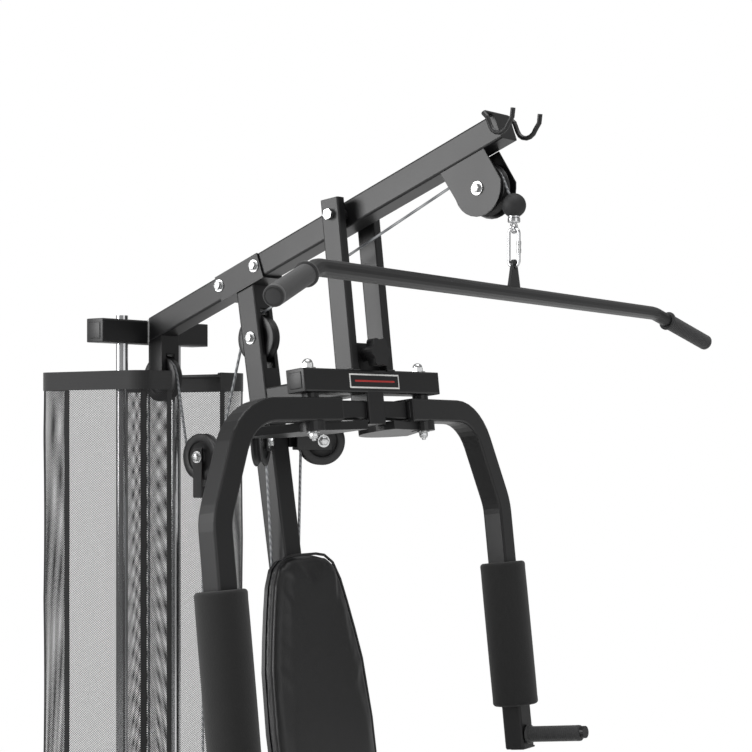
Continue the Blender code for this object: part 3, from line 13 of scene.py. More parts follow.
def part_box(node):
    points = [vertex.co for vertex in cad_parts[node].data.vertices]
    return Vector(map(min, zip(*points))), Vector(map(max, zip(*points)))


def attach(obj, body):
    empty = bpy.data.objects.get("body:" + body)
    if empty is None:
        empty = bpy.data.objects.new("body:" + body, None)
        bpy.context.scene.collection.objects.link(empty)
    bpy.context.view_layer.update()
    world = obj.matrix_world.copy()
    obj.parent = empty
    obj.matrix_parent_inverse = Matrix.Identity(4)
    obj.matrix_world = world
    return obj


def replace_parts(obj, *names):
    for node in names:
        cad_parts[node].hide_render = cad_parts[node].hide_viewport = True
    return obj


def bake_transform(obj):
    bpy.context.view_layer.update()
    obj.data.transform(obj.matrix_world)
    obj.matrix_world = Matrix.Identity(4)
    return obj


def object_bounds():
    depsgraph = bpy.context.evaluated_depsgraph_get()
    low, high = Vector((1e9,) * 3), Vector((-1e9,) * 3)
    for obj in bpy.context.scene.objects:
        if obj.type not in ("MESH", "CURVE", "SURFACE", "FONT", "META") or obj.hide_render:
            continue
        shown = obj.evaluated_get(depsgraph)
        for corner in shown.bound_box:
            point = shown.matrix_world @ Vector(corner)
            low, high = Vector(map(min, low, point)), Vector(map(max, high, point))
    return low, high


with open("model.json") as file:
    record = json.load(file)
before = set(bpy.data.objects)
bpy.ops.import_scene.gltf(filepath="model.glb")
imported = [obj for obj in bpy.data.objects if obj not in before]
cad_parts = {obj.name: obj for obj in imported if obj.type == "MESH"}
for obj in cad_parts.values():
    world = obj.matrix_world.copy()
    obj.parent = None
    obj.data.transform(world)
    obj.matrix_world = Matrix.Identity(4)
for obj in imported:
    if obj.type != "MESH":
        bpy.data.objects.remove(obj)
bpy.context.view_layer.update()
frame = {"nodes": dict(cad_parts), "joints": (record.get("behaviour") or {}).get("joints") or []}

MM = 0.001
X_AXIS = Vector((1, 0, 0))
Y_AXIS = Vector((0, 1, 0))
Z_AXIS = Vector((0, 0, 1))
JOINTS = {joint["name"]: joint for joint in frame["joints"]}
TUBE = 0.050                          # square frame tube
MAST_LEAN = math.radians(9.15)
MAST_UP = Vector((0, math.sin(MAST_LEAN), math.cos(MAST_LEAN)))
MAST_FRONT = Vector((0, -math.cos(MAST_LEAN), math.sin(MAST_LEAN)))
PIVOT = Vector(JOINTS["press"]["pos_m"])
ARM_DOWN = Vector(JOINTS["swing_right"]["axis"]).normalized()
ARM_FRONT = Vector(JOINTS["knob_pull"]["axis"]).normalized()
SIDES = {-1: "left", 1: "right"}


# ---------------------------------------------------------------- materials
def linear(colour):
    """sRGB hex colour as linear RGBA."""
    values = [int(colour[i:i + 2], 16) / 255 for i in (1, 3, 5)]
    return (*(v / 12.92 if v <= 0.04045 else ((v + 0.055) / 1.055) ** 2.4 for v in values), 1.0)


def add(tree, kind, inputs=None, **settings):
    """Add a node, set its attributes, and set or link its inputs."""
    node = tree.nodes.new(kind)
    for name, value in settings.items():
        setattr(node, name, value)
    for key, value in (inputs or {}).items():
        if isinstance(value, bpy.types.NodeSocket):
            tree.links.new(value, node.inputs[key])
        else:
            node.inputs[key].default_value = value
    return node


def begin(name, **sockets):
    """New material with its shader; sockets are set on the shader itself."""
    made = bpy.data.materials.new(name)
    made.use_nodes = True
    tree = made.node_tree
    shader = tree.nodes["Principled BSDF"]
    for key, value in sockets.items():
        shader.inputs[key.replace("_", " ")].default_value = value
    return made, tree, shader


def surface(tree, shader, low, high, cloud_mm, rough, grain_mm, relief, depth_mm=0.3, edge_mm=0.0):
    """Soft tone and roughness clouds over a fine noise relief, with softened edges, in millimetres."""
    spot = add(tree, "ShaderNodeTexCoord").outputs["Object"]
    cloud = add(tree, "ShaderNodeTexNoise", {"Vector": spot, "Scale": 1 / (cloud_mm * MM), "Detail": 4.0})
    tone = add(tree, "ShaderNodeMix", {0: cloud.outputs[0], 6: linear(low), 7: linear(high)},
               data_type="RGBA")
    shine = add(tree, "ShaderNodeMapRange", {"Value": cloud.outputs[0],
                                               "To Min": rough[0], "To Max": rough[1]})
    grain = add(tree, "ShaderNodeTexNoise", {"Vector": spot, "Scale": 1 / (grain_mm * MM), "Detail": 2.0})
    bump = add(tree, "ShaderNodeBump", {"Height": grain.outputs[0], "Strength": relief,
                                         "Distance": depth_mm * MM})
    if edge_mm:
        edge = add(tree, "ShaderNodeBevel", {"Radius": edge_mm * MM}, samples=4)
        tree.links.new(edge.outputs[0], bump.inputs["Normal"])
    tree.links.new(tone.outputs[2], shader.inputs["Base Color"])
    tree.links.new(shine.outputs[0], shader.inputs["Roughness"])
    tree.links.new(bump.outputs[0], shader.inputs["Normal"])
    return spot, tone, bump


def powder_coat():
    """Baked powder paint: satin black with a faint orange peel, drawn at 2.5 mm so that it shows."""
    made, tree, shader = begin("satin_powder_coat", IOR=1.5)
    surface(tree, shader, "#0c0c0d", "#131314", 140, (0.34, 0.42), 2.5, 0.10, edge_mm=1.2)
    return made


def chrome_plate():
    """Hard chrome on a ground rod: mirror bright, with faint drawn lines along its length."""
    made, tree, shader = begin("hard_chrome", Metallic=1.0)
    spot = add(tree, "ShaderNodeTexCoord").outputs["Object"]
    drawn = add(tree, "ShaderNodeMapping", {"Vector": spot, "Scale": (900, 900, 12)})
    lines = add(tree, "ShaderNodeTexNoise", {"Vector": drawn.outputs[0], "Scale": 1.0, "Detail": 3.0})
    tone = add(tree, "ShaderNodeMix", {0: lines.outputs[0], 6: linear("#b9babc"), 7: linear("#dcdcdd")},
               data_type="RGBA")
    shine = add(tree, "ShaderNodeMapRange", {"Value": lines.outputs[0], "To Min": 0.08, "To Max": 0.20})
    tree.links.new(tone.outputs[2], shader.inputs["Base Color"])
    tree.links.new(shine.outputs[0], shader.inputs["Roughness"])
    return made


def zinc_plate():
    """Bright zinc on pressed hardware: bluish white with cloudy passivation."""
    made, tree, shader = begin("bright_zinc", Metallic=1.0)
    surface(tree, shader, "#a9abae", "#d6d6d4", 9, (0.18, 0.34), 1.2, 0.12, 0.1)
    return made


def bare_weld():
    """Weld metal brushed with silver paint: dull and uneven."""
    made, tree, shader = begin("silvered_weld", Metallic=0.85)
    surface(tree, shader, "#8b8c8d", "#c4c4c2", 6, (0.32, 0.5), 1.5, 0.35)
    return made


def moulded_nylon():
    """Injection moulded nylon: black, semi matt, with a fine spark eroded texture."""
    made, tree, shader = begin("moulded_nylon", IOR=1.53)
    surface(tree, shader, "#131314", "#1c1c1d", 30, (0.36, 0.48), 1.2, 0.12)
    return made


def soft_rubber():
    """Moulded rubber caps and buffers: dense black, matt, a little grey where it is handled."""
    made, tree, shader = begin("soft_rubber", IOR=1.52)
    surface(tree, shader, "#131314", "#1f1f20", 25, (0.6, 0.75), 1.0, 0.15)
    return made


def grip_rubber():
    """Pushed-on grip sleeve: slightly tacky rubber that scatters light at its edge."""
    made, tree, shader = begin("grip_rubber", IOR=1.5, Sheen_Weight=0.25, Sheen_Roughness=0.5)
    surface(tree, shader, "#1f1f20", "#2a2a2b", 18, (0.62, 0.78), 1.6, 0.3)
    return made


def cell_foam():
    """Nitrile foam roller: matt charcoal, open cells of about 1 mm, drawn at 2.4 mm so that they show."""
    made, tree, shader = begin("nitrile_foam", IOR=1.45, Sheen_Weight=0.12, Sheen_Roughness=0.6)
    spot, tone, bump = surface(tree, shader, "#0e0e0e", "#151515", 16, (0.82, 0.94), 2.4, 0.35, 0.6)
    cells = add(tree, "ShaderNodeTexVoronoi", {"Vector": spot, "Scale": 1 / (2.4 * MM)})
    pits = add(tree, "ShaderNodeBump", {"Height": cells.outputs["Distance"], "Strength": 0.5,
                                        "Distance": 0.5 * MM, "Normal": bump.outputs[0]})
    tree.links.new(pits.outputs[0], shader.inputs["Normal"])
    return made


def grained_vinyl():
    """Upholstery vinyl: black with an embossed leather grain of about 2 mm, drawn at 3.5 mm."""
    made, tree, shader = begin("grained_vinyl", IOR=1.5, Coat_Weight=0.12, Coat_Roughness=0.35)
    spot, tone, bump = surface(tree, shader, "#0d0d0e", "#141415", 60, (0.38, 0.52), 1.4, 0.2)
    warp = add(tree, "ShaderNodeTexNoise", {"Vector": spot, "Scale": 1 / (9 * MM), "Detail": 2.0})
    bent = add(tree, "ShaderNodeMix", {0: 0.004, 4: spot, 5: warp.outputs["Color"]}, data_type="VECTOR")
    cells = add(tree, "ShaderNodeTexVoronoi", {"Vector": bent.outputs[1], "Scale": 1 / (3.5 * MM)},
                feature="DISTANCE_TO_EDGE")
    creases = add(tree, "ShaderNodeMapRange", {"Value": cells.outputs["Distance"], "From Max": 0.12})
    grain = add(tree, "ShaderNodeBump", {"Height": creases.outputs[0], "Strength": 0.45,
                                         "Distance": 0.25 * MM, "Normal": bump.outputs[0]})
    tree.links.new(grain.outputs[0], shader.inputs["Normal"])
    return made


def woven_tape():
    """Polyester binding tape: black, plain weave of 1 mm drawn at 3 mm, dull with a soft sheen."""
    made, tree, shader = begin("woven_tape", IOR=1.5, Sheen_Weight=0.3, Sheen_Roughness=0.5)
    spot = add(tree, "ShaderNodeTexCoord").outputs["UV"]
    warp = add(tree, "ShaderNodeTexWave", {"Vector": spot, "Scale": 1 / (3 * MM) / math.tau * 2},
               bands_direction="X")
    weft = add(tree, "ShaderNodeTexWave", {"Vector": spot, "Scale": 1 / (3 * MM) / math.tau * 2},
               bands_direction="Y")
    weave = add(tree, "ShaderNodeMath", {0: warp.outputs["Fac"], 1: weft.outputs["Fac"]},
                operation="MULTIPLY")
    tone = add(tree, "ShaderNodeMix", {0: weave.outputs[0], 6: linear("#0f0f10"), 7: linear("#1e1e1f")},
               data_type="RGBA")
    bump = add(tree, "ShaderNodeBump", {"Height": weave.outputs[0], "Strength": 0.4, "Distance": 0.4 * MM})
    tree.links.new(tone.outputs[2], shader.inputs["Base Color"])
    tree.links.new(bump.outputs[0], shader.inputs["Normal"])
    shader.inputs["Roughness"].default_value = 0.85
    return made


HOLE_PITCH = 5.0 * MM                 # warp-knit net: 2.5 mm holes, drawn at twice their pitch


def knitted_net():
    """Warp-knit polyester net: black yarn round staggered holes, see-through in a single layer."""
    made, tree, shader = begin("knitted_net", IOR=1.5, Roughness=0.8)
    spot = add(tree, "ShaderNodeTexCoord").outputs["UV"]
    parts = add(tree, "ShaderNodeSeparateXYZ", {0: spot})
    turn = math.tau / HOLE_PITCH
    across = add(tree, "ShaderNodeMath", {0: parts.outputs[0], 1: turn}, operation="MULTIPLY")
    along = add(tree, "ShaderNodeMath", {0: parts.outputs[1], 1: turn}, operation="MULTIPLY")
    wave_a = add(tree, "ShaderNodeMath", {0: across.outputs[0]}, operation="COSINE")
    wave_b = add(tree, "ShaderNodeMath", {0: along.outputs[0]}, operation="COSINE")
    both = add(tree, "ShaderNodeMath", {0: wave_a.outputs[0], 1: wave_b.outputs[0]}, operation="MULTIPLY")
    yarn = add(tree, "ShaderNodeMapRange", {"Value": both.outputs[0], "From Min": -0.02, "From Max": 0.10,
                                            "To Min": 1.0, "To Max": 0.0})
    tone = add(tree, "ShaderNodeMix", {0: yarn.outputs[0], 6: linear("#141415"), 7: linear("#222223")},
               data_type="RGBA")
    tree.links.new(tone.outputs[2], shader.inputs["Base Color"])
    tree.links.new(yarn.outputs[0], shader.inputs["Alpha"])
    return made


def sleeved_cable():
    """Steel strand in a clear grey nylon sleeve: the lay of the strand shows as slanting bands."""
    made, tree, shader = begin("sleeved_cable", IOR=1.5, Roughness=0.32, Metallic=0.25, Coat_Weight=0.4)
    spot = add(tree, "ShaderNodeTexCoord").outputs["Object"]
    lay = add(tree, "ShaderNodeMapping", {"Vector": spot, "Rotation": (0.6, 0.5, 0.0)})
    strand = add(tree, "ShaderNodeTexWave", {"Vector": lay.outputs[0], "Scale": 1 / (5 * MM) / math.tau * 2})
    tone = add(tree, "ShaderNodeMix", {0: strand.outputs["Fac"], 6: linear("#6f7174"), 7: linear("#a6a8aa")},
               data_type="RGBA")
    bump = add(tree, "ShaderNodeBump", {"Height": strand.outputs["Fac"], "Strength": 0.25,
                                         "Distance": 0.2 * MM})
    tree.links.new(tone.outputs[2], shader.inputs["Base Color"])
    tree.links.new(bump.outputs[0], shader.inputs["Normal"])
    return made


def cast_weight():
    """Cast iron weights in black enamel: sand cast skin with grains of about 3 mm."""
    made, tree, shader = begin("cast_weight", IOR=1.5)
    surface(tree, shader, "#191a1b", "#242526", 50, (0.4, 0.55), 3.0, 0.35, 0.5, edge_mm=1.5)
    return made


def printed_film(name, low, high):
    """Vinyl sticker film: even colour under a thin gloss."""
    made, tree, shader = begin(name, IOR=1.5, Coat_Weight=0.3, Coat_Roughness=0.15)
    surface(tree, shader, low, high, 12, (0.3, 0.36), 1.5, 0.05)
    return made


def pale_floor():
    """Matt white floor that fades into the backdrop away from the machine."""
    made, tree, shader = begin("pale_floor", Roughness=0.9)
    spot = add(tree, "ShaderNodeTexCoord").outputs["Object"]
    flat = add(tree, "ShaderNodeVectorMath", {0: spot}, operation="LENGTH")
    fade = add(tree, "ShaderNodeMapRange", {"Value": flat.outputs["Value"], "From Min": 1.6, "From Max": 3.6,
                                            "To Min": 0.0, "To Max": 1.0})
    speck = add(tree, "ShaderNodeTexNoise", {"Vector": spot, "Scale": 40.0})
    tone = add(tree, "ShaderNodeMix", {0: speck.outputs[0], 6: linear("#f1f1f0"), 7: linear("#f7f7f6")},
               data_type="RGBA")
    tree.links.new(tone.outputs[2], shader.inputs["Base Color"])
    glow = add(tree, "ShaderNodeEmission", {"Color": (1, 1, 1, 1), "Strength": 1.0})
    both = add(tree, "ShaderNodeMixShader", {0: fade.outputs[0], 1: shader.outputs[0], 2: glow.outputs[0]})
    tree.links.new(both.outputs[0], tree.nodes["Material Output"].inputs["Surface"])
    return made


COAT = powder_coat()
CHROME = chrome_plate()
ZINC = zinc_plate()
WELD = bare_weld()
NYLON = moulded_nylon()
RUBBER = soft_rubber()
GRIP = grip_rubber()
FOAM = cell_foam()
VINYL = grained_vinyl()
TAPE = woven_tape()
NET = knitted_net()
CABLE = sleeved_cable()
IRON = cast_weight()
LABEL_WHITE = printed_film("white_film", "#dddddb", "#e9e9e7")
LABEL_RED = printed_film("red_film", "#a8201c", "#b92722")


# ---------------------------------------------------------------- bench tools
def take(*objs):
    """Select only these objects; the first is the active one."""
    bpy.ops.object.select_all(action="DESELECT")
    for obj in objs:
        obj.select_set(True)
    bpy.context.view_layer.objects.active = objs[0]
    return objs[0]


def finish_piece(obj, name, look, body, angle=35):
    """Name a piece, apply its place, smooth it by angle, and give it its finish and its body."""
    take(obj)
    bpy.ops.object.transform_apply(location=True, rotation=True, scale=True)
    bpy.ops.object.shade_smooth_by_angle(angle=math.radians(angle))
    obj.name = name
    obj.data.materials.clear()
    obj.data.materials.append(look)
    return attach(obj, body)


def apply_modifier(obj, kind, **settings):
    take(obj)
    modifier = obj.modifiers.new(kind.lower(), kind)
    for key, value in settings.items():
        setattr(modifier, key, value)
    bpy.ops.object.modifier_apply(modifier=modifier.name)
    return obj


def lathe(profile, steps, ring=False):
    """Turn (radius, height) points about Z by extruding and scaling a circle; a ring closes on itself."""
    radius, height = profile[0]
    bpy.ops.object.select_all(action="DESELECT")
    bpy.ops.mesh.primitive_circle_add(vertices=steps, radius=radius, location=(0, 0, 0),
                                      fill_type="NOTHING" if ring else "NGON")
    obj = bpy.context.object
    bpy.ops.object.mode_set(mode="EDIT")
    bpy.ops.transform.translate(value=(0, 0, height))
    for wide, high in profile[1:] + (profile[:1] if ring else []):
        bpy.ops.mesh.extrude_region_move(TRANSFORM_OT_translate={"value": (0, 0, high - height)})
        bpy.ops.transform.resize(value=(wide / radius, wide / radius, 1))
        radius, height = wide, high
    bpy.ops.mesh.select_all(action="SELECT")
    bpy.ops.mesh.remove_doubles(threshold=0.00001)
    bpy.ops.mesh.normals_make_consistent(inside=False)
    bpy.ops.object.mode_set(mode="OBJECT")
    return obj


def stand(obj, centre, axis):
    """Turn a piece made along Z to lie along an axis at a place."""
    obj.matrix_world = Matrix.Translation(centre) @ Z_AXIS.rotation_difference(axis).to_matrix().to_4x4() \
        @ obj.matrix_world
    bpy.context.view_layer.update()
    return obj


def again(obj):
    """Copy of a master with its own mesh."""
    copy = obj.copy()
    copy.data = obj.data.copy()
    bpy.context.scene.collection.objects.link(copy)
    return copy


def gather(objs):
    take(*objs)
    bpy.ops.object.transform_apply(location=True, rotation=True, scale=True)
    bpy.ops.object.join()
    return bpy.context.object


def sweep(points, radius=None, section=None, closed=False, resolution=4, swell=None):
    """Tube through points, round or with a flat section outline, as a mesh with closed ends."""
    curve = bpy.data.curves.new("run", "CURVE")
    curve.dimensions = "3D"
    spline = curve.splines.new("POLY")
    spline.points.add(len(points) - 1)
    for spot, point in zip(spline.points, points):
        spot.co = (*point, 1.0)
    for spot, size in zip(spline.points, swell or ()):
        spot.radius = size
    spline.use_cyclic_u = closed
    outline = None
    if section:
        shape = bpy.data.curves.new("section", "CURVE")
        ring = shape.splines.new("POLY")
        ring.points.add(len(section) - 1)
        for spot, point in zip(ring.points, section):
            spot.co = (*point, 0.0, 1.0)
        ring.use_cyclic_u = True
        outline = bpy.data.objects.new("section", shape)
        bpy.context.scene.collection.objects.link(outline)
        curve.bevel_mode = "OBJECT"
        curve.bevel_object = outline
    else:
        curve.bevel_depth = radius
        curve.bevel_resolution = resolution
    curve.use_fill_caps = not closed
    obj = bpy.data.objects.new("run", curve)
    bpy.context.scene.collection.objects.link(obj)
    take(obj)
    bpy.ops.object.convert(target="MESH")
    made = bpy.context.object
    if outline:
        bpy.data.objects.remove(outline, do_unlink=True)
    bpy.ops.object.mode_set(mode="EDIT")
    bpy.ops.mesh.select_all(action="SELECT")
    bpy.ops.mesh.remove_doubles(threshold=0.00001)
    bpy.ops.mesh.normals_make_consistent(inside=False)
    bpy.ops.object.mode_set(mode="OBJECT")
    return made


def slab(width, depth, height, round_by, segments=3):
    """Block about the origin with all its edges rounded."""
    bpy.ops.object.select_all(action="DESELECT")
    bpy.ops.mesh.primitive_cube_add(size=1, location=(0, 0, 0))
    obj = bpy.context.object
    obj.scale = (width, depth, height)
    bpy.ops.object.transform_apply(scale=True)
    bpy.ops.object.mode_set(mode="EDIT")
    bpy.ops.mesh.select_all(action="SELECT")
    bpy.ops.mesh.bevel(offset=round_by, segments=segments, affect="EDGES")
    bpy.ops.object.mode_set(mode="OBJECT")
    return obj


def set_square(obj, centre, across, up):
    """Place a block with its X along one direction and its Z along another."""
    rows = Matrix((across, up.cross(across), up)).transposed()
    obj.matrix_world = Matrix.Translation(centre) @ rows.to_4x4()
    bpy.context.view_layer.update()
    return obj


def middle(node):
    low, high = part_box(node)
    return (low + high) / 2


def arc(radius, start, end, steps):
    """Points of an arc about the origin, from one angle in degrees to another."""
    return [(radius * math.cos(math.radians(a)), radius * math.sin(math.radians(a)))
            for a in np.linspace(start, end, steps)]


# ---------------------------------------------------------------- shared hardware
def hex_bolt():
    """M12 bolt head with a chamfered crown, standing on Z = 0."""
    obj = lathe([(0.0094, 0.0), (0.0094, 0.0062), (0.0080, 0.0074), (0.0002, 0.0074)], 6)
    return apply_modifier(obj, "BEVEL", width=0.0006, segments=2, limit_method="ANGLE")


def washer():
    return lathe([(0.0066, 0.0), (0.0125, 0.0), (0.0130, 0.0004), (0.0130, 0.0019), (0.0125, 0.0023),
                  (0.0066, 0.0023)], 32, ring=True)


def dome_nut():
    """Acorn nut: six flats under a turned dome."""
    base = lathe([(0.0098, 0.0), (0.0098, 0.0070), (0.0088, 0.0078), (0.0002, 0.0078)], 6)
    dome = lathe([(0.0086, 0.0060)] + [(0.0086 * math.cos(a), 0.0078 + 0.0075 * math.sin(a))
                                       for a in np.linspace(0, 1.54, 9)], 32)
    return gather([base, dome])


def nyloc_nut():
    """Lock nut with its collar and the end of the bolt."""
    base = lathe([(0.0094, 0.0), (0.0094, 0.0072), (0.0080, 0.0088), (0.0078, 0.0108), (0.0062, 0.0112),
                  (0.0060, 0.0104), (0.0046, 0.0104), (0.0046, 0.0142), (0.0040, 0.0150),
                   (0.0002, 0.0150)], 6)
    return apply_modifier(base, "BEVEL", width=0.0004, segments=2, limit_method="ANGLE")


BOLT, WASHER, DOME, NUT = hex_bolt(), washer(), dome_nut(), nyloc_nut()
fitted = [0]


def fastener(kind, place, outward, body, size=1.0, with_washer=True):
    """Bolt head or nut on its washer, its seat at a place, pointing outward."""
    parts = [again(kind)]
    if with_washer:
        parts.append(again(WASHER))
        parts[0].location.z += 0.0023
        bpy.context.view_layer.update()
    obj = gather(parts)
    obj.matrix_world = Matrix.Scale(size, 4) @ obj.matrix_world
    stand(obj, place, outward)
    fitted[0] += 1
    return finish_piece(obj, f"fastener_{fitted[0]:02d}", ZINC, body, 30)


# ---------------------------------------------------------------- pulleys
def pulley_master():
    """Moulded cable pulley about Z: rounded rim, V groove, dished web and raised hub."""
    half, out = 0.011, 0.049
    side = [(0.0135, half), (0.0150, half - 0.0008), (0.0160, half - 0.0045), (0.0300, half - 0.0045),
            (0.0315, half - 0.0035), (0.0325, half - 0.0008), (0.0345, half), (0.0465, half),
            (0.0482, half - 0.0006), (out, half - 0.0020)]
    groove = [(out - 0.0006, half - 0.0031), (0.0448, 0.0052), (0.0414, 0.0030), (0.0398, 0.0)]
    upper = [(0.0062, half)] + side + groove
    profile = upper + [(r, -z) for r, z in reversed(upper[:-1])]
    return lathe(profile, 64, ring=True)


PULLEY = pulley_master()
INNER = lathe([(0.0062, -0.0113), (0.0100, -0.0113), (0.0108, -0.0108), (0.0108, 0.0108), (0.0100, 0.0113),
               (0.0062, 0.0113)], 48, ring=True)
WHEELS = {"front": X_AXIS, "mast": X_AXIS, "rear": X_AXIS, "float_upper": X_AXIS, "float_lower": X_AXIS,
          "low_front": X_AXIS, "base_front": X_AXIS, "base_middle": X_AXIS, "base_rear": X_AXIS,
          "swivel_left": None, "swivel_right": None}
for where, axle in WHEELS.items():
    axle = axle or Vector(JOINTS["turn_" + where]["axis"]).normalized()
    centre = middle("pulley_" + where)
    wheel = finish_piece(stand(again(PULLEY), centre, axle), "wheel_" + where, NYLON, "wheel_" + where)
    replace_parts(wheel, "pulley_" + where)
    finish_piece(stand(again(INNER), centre, axle), "bearing_" + where, ZINC, "wheel_" + where)



# ---------------------------------------------------------------- paint and plating on the frame nodes
LOOKS = {"frame_paint": COAT, "bright_steel": CHROME, "zinc_steel": ZINC, "black_nylon": NYLON,
         "foam_rubber": FOAM,
         "black_vinyl": VINYL, "black_mesh": NET, "cable_sleeve": CABLE, "weight_iron": IRON}
for name, node in frame["nodes"].items():
    kind = node.data.materials[0].name.split(".")[0] if node.data.materials else "frame_paint"
    node.data.materials.clear()
    node.data.materials.append(RUBBER if name == "ball_stop" else LOOKS.get(kind, COAT))


def arm_point(x, down, front=0.0):
    """Place on the hanging press arm at rest."""
    return PIVOT + X_AXIS * x + ARM_DOWN * down + ARM_FRONT * front


def swing_axes(side):
    """Outward and forward directions of a swinging arm at rest, 4.7 degrees back."""
    turn = math.radians(4.7)
    return (X_AXIS * side * math.cos(turn) - ARM_FRONT * math.sin(turn),
            ARM_FRONT * math.cos(turn) + X_AXIS * side * math.sin(turn))


def swing_point(side, out, down, front=0.0):
    outward, forward = swing_axes(side)
    return arm_point(side * 0.167, down) + outward * (out - 0.167) + forward * front


# ---------------------------------------------------------------- bolts at every joint
BOX_TOP, ARM_MID, CAM_BOTTOM = 0.3034, 0.3804, 0.4204
STRAP = 0.0165                        # outside of the straps beside a pulley
cross_bolts = [("frame", (-0.513, 1.965), 0.025), ("frame", (0.054036, 1.709), 0.025),
               ("frame", (0.214, 1.466), STRAP), ("frame", (-0.030, 0.620), STRAP)]
cross_bolts += [("frame", (y, 0.105), STRAP) for y in (-0.595, -0.116, 0.056, 0.171)]
cross_bolts += [("frame", (0.3334, 1.632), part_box("pulley_stub")[1].x),
                ("frame", (0.138, 1.819), 0.029), ("frame", (0.041, 1.854), 0.029)]
for body, (y, z), half in cross_bolts:
    fastener(BOLT, Vector((-half, y, z)), -X_AXIS, body)
    fastener(NUT, Vector((half, y, z)), X_AXIS, body)
for side, word in SIDES.items():
    axle = Vector(JOINTS["turn_swivel_" + word]["axis"]).normalized()
    centre = middle("pulley_swivel_" + word)
    fastener(BOLT, centre - axle * STRAP, -axle, "frame")
    fastener(NUT, centre + axle * STRAP, axle, "frame")
    fastener(DOME, arm_point(side * 0.167, BOX_TOP), -ARM_DOWN, "press_arm", 1.15)
    fastener(NUT, arm_point(side * 0.167, CAM_BOTTOM), ARM_DOWN, "press_arm")


# ---------------------------------------------------------------- plugs in the open tube ends
def plug(size):
    """Pushed-in end plug: a rounded plate with a domed middle."""
    plate = slab(size, size, 0.004, 0.0015)
    crown = slab(size * 0.7, size * 0.7, 0.003, 0.0013)
    crown.location.z = 0.0022
    bpy.context.view_layer.update()
    return gather([plate, crown])


PLUG = plug(0.0495)
PLUG_ARM = plug(0.0445)
ends = []
for node, middle_yz in (("rear_crossbar", (0.3764, 1.7305)), ("front_foot", (-0.78, 0.025)),
                        ("rear_foot", (0.3764, 0.025))):
    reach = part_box(node)[1].x
    for side in (-1, 1):
        ends.append((PLUG, Vector((side * reach, *middle_yz)), X_AXIS * side, Y_AXIS, "frame"))
for side in (-1, 1):
    ends.append((PLUG_ARM, arm_point(side * 0.202, 0.3259), X_AXIS * side, ARM_FRONT, "press_arm"))
for side, word in SIDES.items():
    outward, forward = swing_axes(side)
    foot = swing_point(side, 0.430, 1.085)
    ends.append((PLUG_ARM, foot, ARM_DOWN, forward, "arm_" + word))
    ends.append((PLUG_ARM, swing_point(side, 0.107, ARM_MID), -outward, forward, "arm_" + word))
for k, (kind, place, outward, across, body) in enumerate(ends):
    obj = set_square(again(kind), place + outward * 0.001, across, outward)
    finish_piece(obj, f"end_plug_{k:02d}", NYLON, body)
PLUG.hide_render = PLUG_ARM.hide_render = True


# ---------------------------------------------------------------- weld beads
def weld(name, look, body, corners, radius=0.0028):
    """Rippled bead round a closed line of corners."""
    points = []
    for a, b in zip(corners, corners[1:] + corners[:1]):
        count = max(2, int((b - a).length / 0.0022))
        points += [a.lerp(b, k / count) for k in range(count)]
    swell = [0.82 + 0.3 * abs(math.sin(k * 1.05)) + 0.12 * math.sin(k * 0.37) for k in range(len(points))]
    return finish_piece(sweep(points, radius, closed=True, resolution=1, swell=swell), name, look, body, 60)


def square_round(centre, across, along, half_across, half_along):
    return [centre + across * a * half_across + along * b * half_along
            for a, b in ((-1, -1), (1, -1), (1, 1), (-1, 1))]


half = TUBE / 2
weld("weld_crossbar", WELD, "frame", square_round(Vector((0, 0.3514, 1.7305)), X_AXIS, Z_AXIS, half, half))
mast_foot = Vector((0, -0.2385 + half / math.cos(MAST_LEAN), 0.0505))
weld("weld_mast_foot", COAT, "frame",
     square_round(mast_foot, X_AXIS, Y_AXIS, half, half / math.cos(MAST_LEAN)))
weld("weld_front_foot", COAT, "frame",
     square_round(Vector((0, -0.755, 0.0285)), X_AXIS, Z_AXIS, half, 0.0215))
weld("weld_rear_foot", COAT, "frame",
     square_round(Vector((0, 0.3514, 0.0285)), X_AXIS, Z_AXIS, half, 0.0215))
for side, word in SIDES.items():
    hanger = arm_point(side * 0.0525, BOX_TOP)
    weld("weld_hanger_" + word, COAT, "press_arm",
         square_round(hanger, X_AXIS, ARM_FRONT, 0.0105, 0.022), 0.0022)
    outward, forward = swing_axes(side)
    stub = swing_point(side, 0.430, 1.057, 0.0225)
    ring = [stub + outward * 0.0125 * math.cos(a) + ARM_DOWN * 0.0125 * math.sin(a)
            for a in np.linspace(0, math.tau, 20, endpoint=False)]
    weld("weld_handle_" + word, COAT, "arm_" + word, ring, 0.0022)


# ---------------------------------------------------------------- cables swept along their runs
CABLE_R = 0.0028


def cable_piece(name, points, node, body):
    points = [Vector(p) for p in points]
    obj = sweep(points, CABLE_R, resolution=3)
    obj.name = name
    obj.data.materials.clear()
    obj.data.materials.append(CABLE)
    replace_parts(obj, node)
    if body:
        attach(obj, body)
    return obj


def between(a, b, count):
    return [Vector(a).lerp(Vector(b), k / (count - 1)) for k in range(count)]


